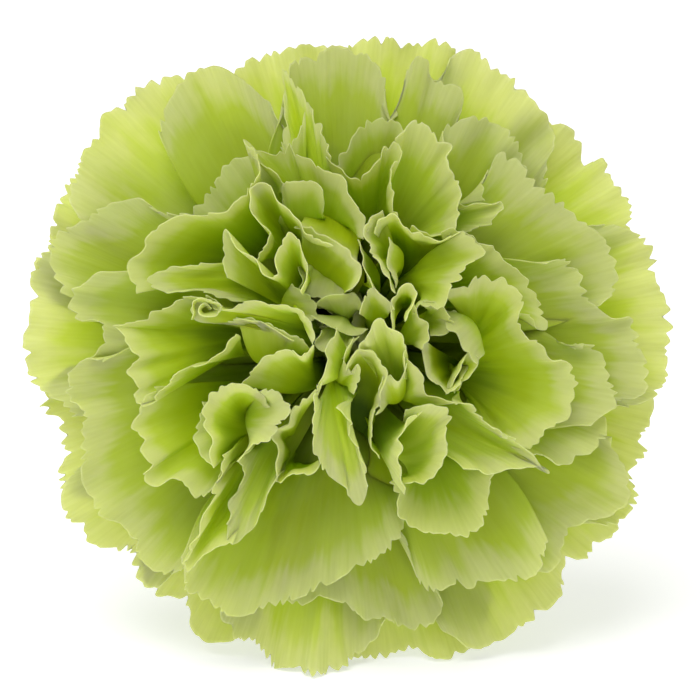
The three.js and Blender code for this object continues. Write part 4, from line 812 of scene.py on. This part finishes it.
def add_claws(material):
    """The bundle of the petals' claws, in the calyx and up into the bloom."""
    foot, neck = CALYX_FOOT + 2, CALYX_FOOT + 7
    profile = np.array([
        (3.3, foot), (CLAWS_RADIUS - 0.8, neck), (CLAWS_RADIUS - 0.3, CALYX_MOUTH - 6),
        (CLAWS_RADIUS - 0.25, CALYX_MOUTH), (5.4, -8), (4.8, -7), (3.4, -6.4), (1.5, -6),
    ])
    knots = np.linspace(0, 1, len(profile))
    fine = np.linspace(0, 1, 60)
    sides = 180
    grid = turned_grid(np.stack([np.interp(fine, knots, values) for values in profile.T], 1), sides)
    angle = turns(sides)[None]
    groove = -0.18 * np.abs(np.sin(angle * 14 + 0.12 * grid[..., 2])) ** 0.6
    grid = widened(grid, groove)
    layers = dict(across=angle * CLAWS_RADIUS, edge=NO_MARGIN + 0 * angle, height=grid[..., 2])
    add_turned("petal_claws", grid, material, "bloom", layers)


# ---- materials


class Nodes:
    """A material's node tree, built by short calls."""

    def __init__(self, name):
        self.material = bpy.data.materials.new(name)
        self.material.use_nodes = True
        self.tree = self.material.node_tree
        self.shader = self.tree.nodes["Principled BSDF"]

    def node(self, kind, inputs, output=0, **settings):
        node = self.tree.nodes.new(kind)
        for key, value in settings.items():
            setattr(node, key, value)
        self.feed(node, inputs)
        return node.outputs[output]

    def feed(self, node, inputs):
        for key, value in inputs.items():
            if isinstance(value, bpy.types.NodeSocket):
                self.tree.links.new(value, node.inputs[key])
            else:
                node.inputs[key].default_value = value

    def surface(self, inputs):
        self.feed(self.shader, inputs)

    def attributes(self, *names):
        return [self.node("ShaderNodeAttribute", {}, "Fac", attribute_name=name) for name in names]

    def math(self, operation, a, b=0.0, c=0.0):
        return self.node("ShaderNodeMath", {0: a, 1: b, 2: c}, operation=operation)

    def times(self, a, b):
        return self.math("MULTIPLY", a, b)

    def spread(self, value, slope, start):
        return self.math("MULTIPLY_ADD", value, slope, start)

    def clamped(self, value, low, high):
        """The way from low to high, from 0 to 1."""
        inputs = {"Value": value, "From Min": low, "From Max": high}
        return self.node("ShaderNodeMapRange", inputs)

    def ramp(self, factor, stops, interpolation="EASE"):
        output = self.node("ShaderNodeValToRGB", {"Fac": factor})
        ramp = output.node.color_ramp
        ramp.interpolation = interpolation
        while len(ramp.elements) < len(stops):
            ramp.elements.new(0.5)
        for element, (position, colour) in zip(ramp.elements, stops):
            element.position = position
            element.color = colour
        return output

    def mix(self, factor, a, b, blend="MIX"):
        inputs = {"Factor": factor, 6: a, 7: b}
        return self.node("ShaderNodeMix", inputs, 2, data_type="RGBA", blend_type=blend)

    def shaded(self, colour, shade):
        return self.mix(1.0, colour, self.vector(shade, shade, shade), "MULTIPLY")

    def grain(self, across, pitch_across, along, pitch_along, place, detail=3.0):
        """Noise of the given pitches, in spots to a mm, across and along a piece."""
        at = self.vector(self.times(across, pitch_across), self.times(along, pitch_along), place)
        return self.node("ShaderNodeTexNoise", {"Vector": at, "Scale": 1.0, "Detail": detail}, "Fac")

    def vector(self, x, y, z):
        return self.node("ShaderNodeCombineXYZ", {"X": x, "Y": y, "Z": z})

    def bump(self, height, strength, distance):
        inputs = {"Height": height, "Strength": strength, "Distance": distance}
        self.surface({"Normal": self.node("ShaderNodeBump", inputs)})


def srgb(r, g, b):
    return *(c / 255 / 12.92 if c < 10 else ((c / 255 + 0.055) / 1.055) ** 2.4 for c in (r, g, b)), 1


MARGIN = srgb(218, 226, 160)
RIM_GREEN = srgb(204, 216, 132)
PALE = srgb(194, 206, 120)
LEAF_GREEN = srgb(170, 194, 52)
FOLD_GREEN = srgb(158, 182, 8)
# Painted shade: the darkest green, and in part DEEP_GREEN, darken the deep parts of the petals as if shaded
# in the crevices; the real claws are pale
DEEP_GREEN = srgb(122, 146, 2)
PAINTED_SHADE_GREEN = srgb(56, 80, 0)
GREY_GREEN = srgb(180, 194, 106)
# The petals' colours by their depth below the rim, in margins, as shares of DEEPEST. The last two stops,
# darker and darker, are painted shade deep in the bloom's crevices (DEEP_GREEN partly the petals' own deeper
# green).
DEEPEST = 3.0
PETAL_COLOURS = [
    (0.0, PALE), (0.035, PALE), (0.15, LEAF_GREEN), (0.33, FOLD_GREEN), (0.66, DEEP_GREEN), (1.0, PAINTED_SHADE_GREEN),
]
FEATHER_MM = 5.0  # how far the palest streaks reach from the rim
FEATHER = [(0.0, (1, 1, 1, 1)), (0.1, (0.5, 0.5, 0.5, 1)), (1.0, (0, 0, 0, 1))]


def petal_material():
    n = Nodes("petal")
    edge, across, seed = n.attributes("edge", "across", "seed")
    tone_and_painted_shade, depth, edging, grey = n.attributes("tone_and_painted_shade", "depth", "edging", "grey")
    vein = n.grain(across, 2.2, edge, 0.16, seed)
    streak = n.grain(across, 0.5, edge, 0.07, seed, 2.0)
    cloud = n.grain(across, 0.14, edge, 0.14, seed)
    wander = n.times(n.spread(streak, 0.7, -0.35), edging)
    wander = n.math("ADD", wander, n.spread(cloud, 0.7, -0.35))
    body = n.ramp(n.math("DIVIDE", n.math("ADD", depth, wander), DEEPEST), PETAL_COLOURS)
    feather = n.ramp(n.math("DIVIDE", edge, FEATHER_MM), FEATHER, "LINEAR")
    feather = n.times(n.times(feather, n.spread(vein, 1.4, -0.2)), edging)
    feather = n.node("ShaderNodeClamp", {"Value": feather, "Min": 0.0, "Max": 0.8})
    body = n.mix(feather, body, n.mix(edging, RIM_GREEN, MARGIN))
    body = n.mix(n.times(grey, n.clamped(cloud, 0.38, 0.62)), body, GREY_GREEN)
    # The brightness: the petal's random tone with its kind's painted shade (painted light where below 0), and
    # its veins
    shade = n.spread(tone_and_painted_shade, -0.05, 1.0)
    shade = n.math("ADD", shade, n.times(n.spread(vein, 0.14, -0.07), edging))
    n.surface({
        "Base Color": n.shaded(body, shade), "Roughness": 0.6, "Specular IOR Level": 0.15,
        "Subsurface Weight": 0.6, "Subsurface Radius": (0.8, 1.0, 0.25), "Subsurface Scale": 0.0016,
    })
    n.bump(vein, 0.12, 0.0003)
    return n.material


WAXY_GREEN = srgb(142, 166, 112)
NERVE_GREEN = srgb(108, 138, 72)
MEMBRANE = srgb(206, 212, 160)
LEAF_BLUE = srgb(118, 146, 116)
LEAF_VEIN = srgb(150, 174, 138)
STEM_GREEN = srgb(134, 162, 104)
CLAW_GREEN = srgb(176, 194, 112)
PITH = srgb(214, 220, 178)


def green_material(name, body, nerve, margin, pitch, margin_mm, roughness):
    """A waxy green surface with fine nerves along it and a pale margin."""
    n = Nodes(name)
    across, height, edge = n.attributes("across", "height", "edge")
    fine = n.grain(across, 1 / pitch, height, 0.12, 0.0)
    cloud = n.grain(across, 0.2, height, 0.2, 3.0)
    colour = n.mix(n.times(n.clamped(fine, 0.42, 0.62), 0.45), body, nerve)
    colour = n.mix(n.times(n.clamped(edge, margin_mm, 0.0), 0.8), colour, margin)
    n.surface({
        "Base Color": n.shaded(colour, n.spread(cloud, 0.3, 0.85)), "Roughness": roughness,
        "Subsurface Weight": 0.15, "Subsurface Radius": (0.5, 1.0, 0.3), "Subsurface Scale": 0.0006,
    })
    n.bump(fine, 0.25, 0.0002)
    return n.material


# ---- the scene

petals = petal_material()
for kind in PETALS:
    add_petals(kind, petals)

add_claws(green_material("claws", CLAW_GREEN, LEAF_GREEN, CLAW_GREEN, 0.5, 1.0, 0.5))
add_calyx(green_material("calyx", WAXY_GREEN, NERVE_GREEN, MEMBRANE, 0.45, 0.9, 0.42))
add_bracts(green_material("bracts", WAXY_GREEN, NERVE_GREEN, MEMBRANE, 0.4, 0.7, 0.45))
add_stem(
    green_material("stem", STEM_GREEN, NERVE_GREEN, WAXY_GREEN, 0.5, 1.0, 0.42),
    green_material("pith", PITH, WAXY_GREEN, PITH, 0.4, 1.0, 0.7),
)
leaf_green = green_material("leaf", LEAF_BLUE, LEAF_VEIN, LEAF_VEIN, 0.35, 0.35, 0.5)
for side in (-1, 1):
    add_leaf(side, leaf_green)

FLOOR_HALF = 4.0
FLOOR_GLOW = 0.45
KEY_FROM = np.array([-0.2, -0.44, 0.87])  # of the light over the middle of the picture
KEY_SIZE = 0.8
KEY_POWER = 6.0
SKY = 0.5
CAMERA_DISTANCE = 1.2
SENSOR_MM = 36
LOOK_HEIGHT = -3.0  # on the flower's axis, of the middle of the picture


def add_floor():
    mesh = bpy.data.meshes.new("floor")
    h = FLOOR_HALF
    mesh.from_pydata([(-h, -h, 0), (h, -h, 0), (h, h, 0), (-h, h, 0)], [], [(0, 1, 2, 3)])
    floor = placed("floor", mesh)
    n = Nodes("floor")
    n.surface({
        "Base Color": (0.9, 0.9, 0.9, 1), "Roughness": 0.9, "Specular IOR Level": 0.0,
        "Emission Color": (1, 1, 1, 1), "Emission Strength": FLOOR_GLOW,
    })
    floor.data.materials.append(n.material)


def add_light(target):
    data = bpy.data.lights.new("key", "AREA")
    data.shape = "DISK"
    data.size = KEY_SIZE
    data.energy = KEY_POWER
    light = placed("key", data)
    light.location = target + KEY_FROM
    light.rotation_mode = "QUATERNION"
    light.rotation_quaternion = (Vector(target) - Vector(target + KEY_FROM)).to_track_quat("-Z", "Y")


def add_world():
    world = bpy.data.worlds.new("studio")
    world.use_nodes = True
    background = world.node_tree.nodes["Background"]
    background.inputs["Color"].default_value = (1, 1, 1, 1)
    background.inputs["Strength"].default_value = SKY
    scene.world = world


def add_camera():
    """Looks down on the bloom along the flower's axis, as the photograph does."""
    x, y, z = seen((PICTURE_PX / 2, PICTURE_PX / 2, LOOK_HEIGHT))[0]
    target = (ORIGIN + x * ACROSS + y * UP + z * AXIS) * MM
    data = bpy.data.cameras.new("camera")
    data.sensor_width = SENSOR_MM
    data.lens = SENSOR_MM * CAMERA_DISTANCE / (PICTURE_PX * MM_PER_PX * MM)
    data.clip_start, data.clip_end = 0.05, 50
    camera = placed("camera", data)
    camera.location = target + AXIS * CAMERA_DISTANCE
    camera.rotation_mode = "QUATERNION"
    camera.rotation_quaternion = Matrix(np.stack([ACROSS, UP, AXIS], 1).tolist()).to_quaternion()
    scene.camera = camera
    return target


add_floor()
add_light(add_camera())
add_world()
scene.view_settings.view_transform = "Standard"
scene.view_settings.look = "None"
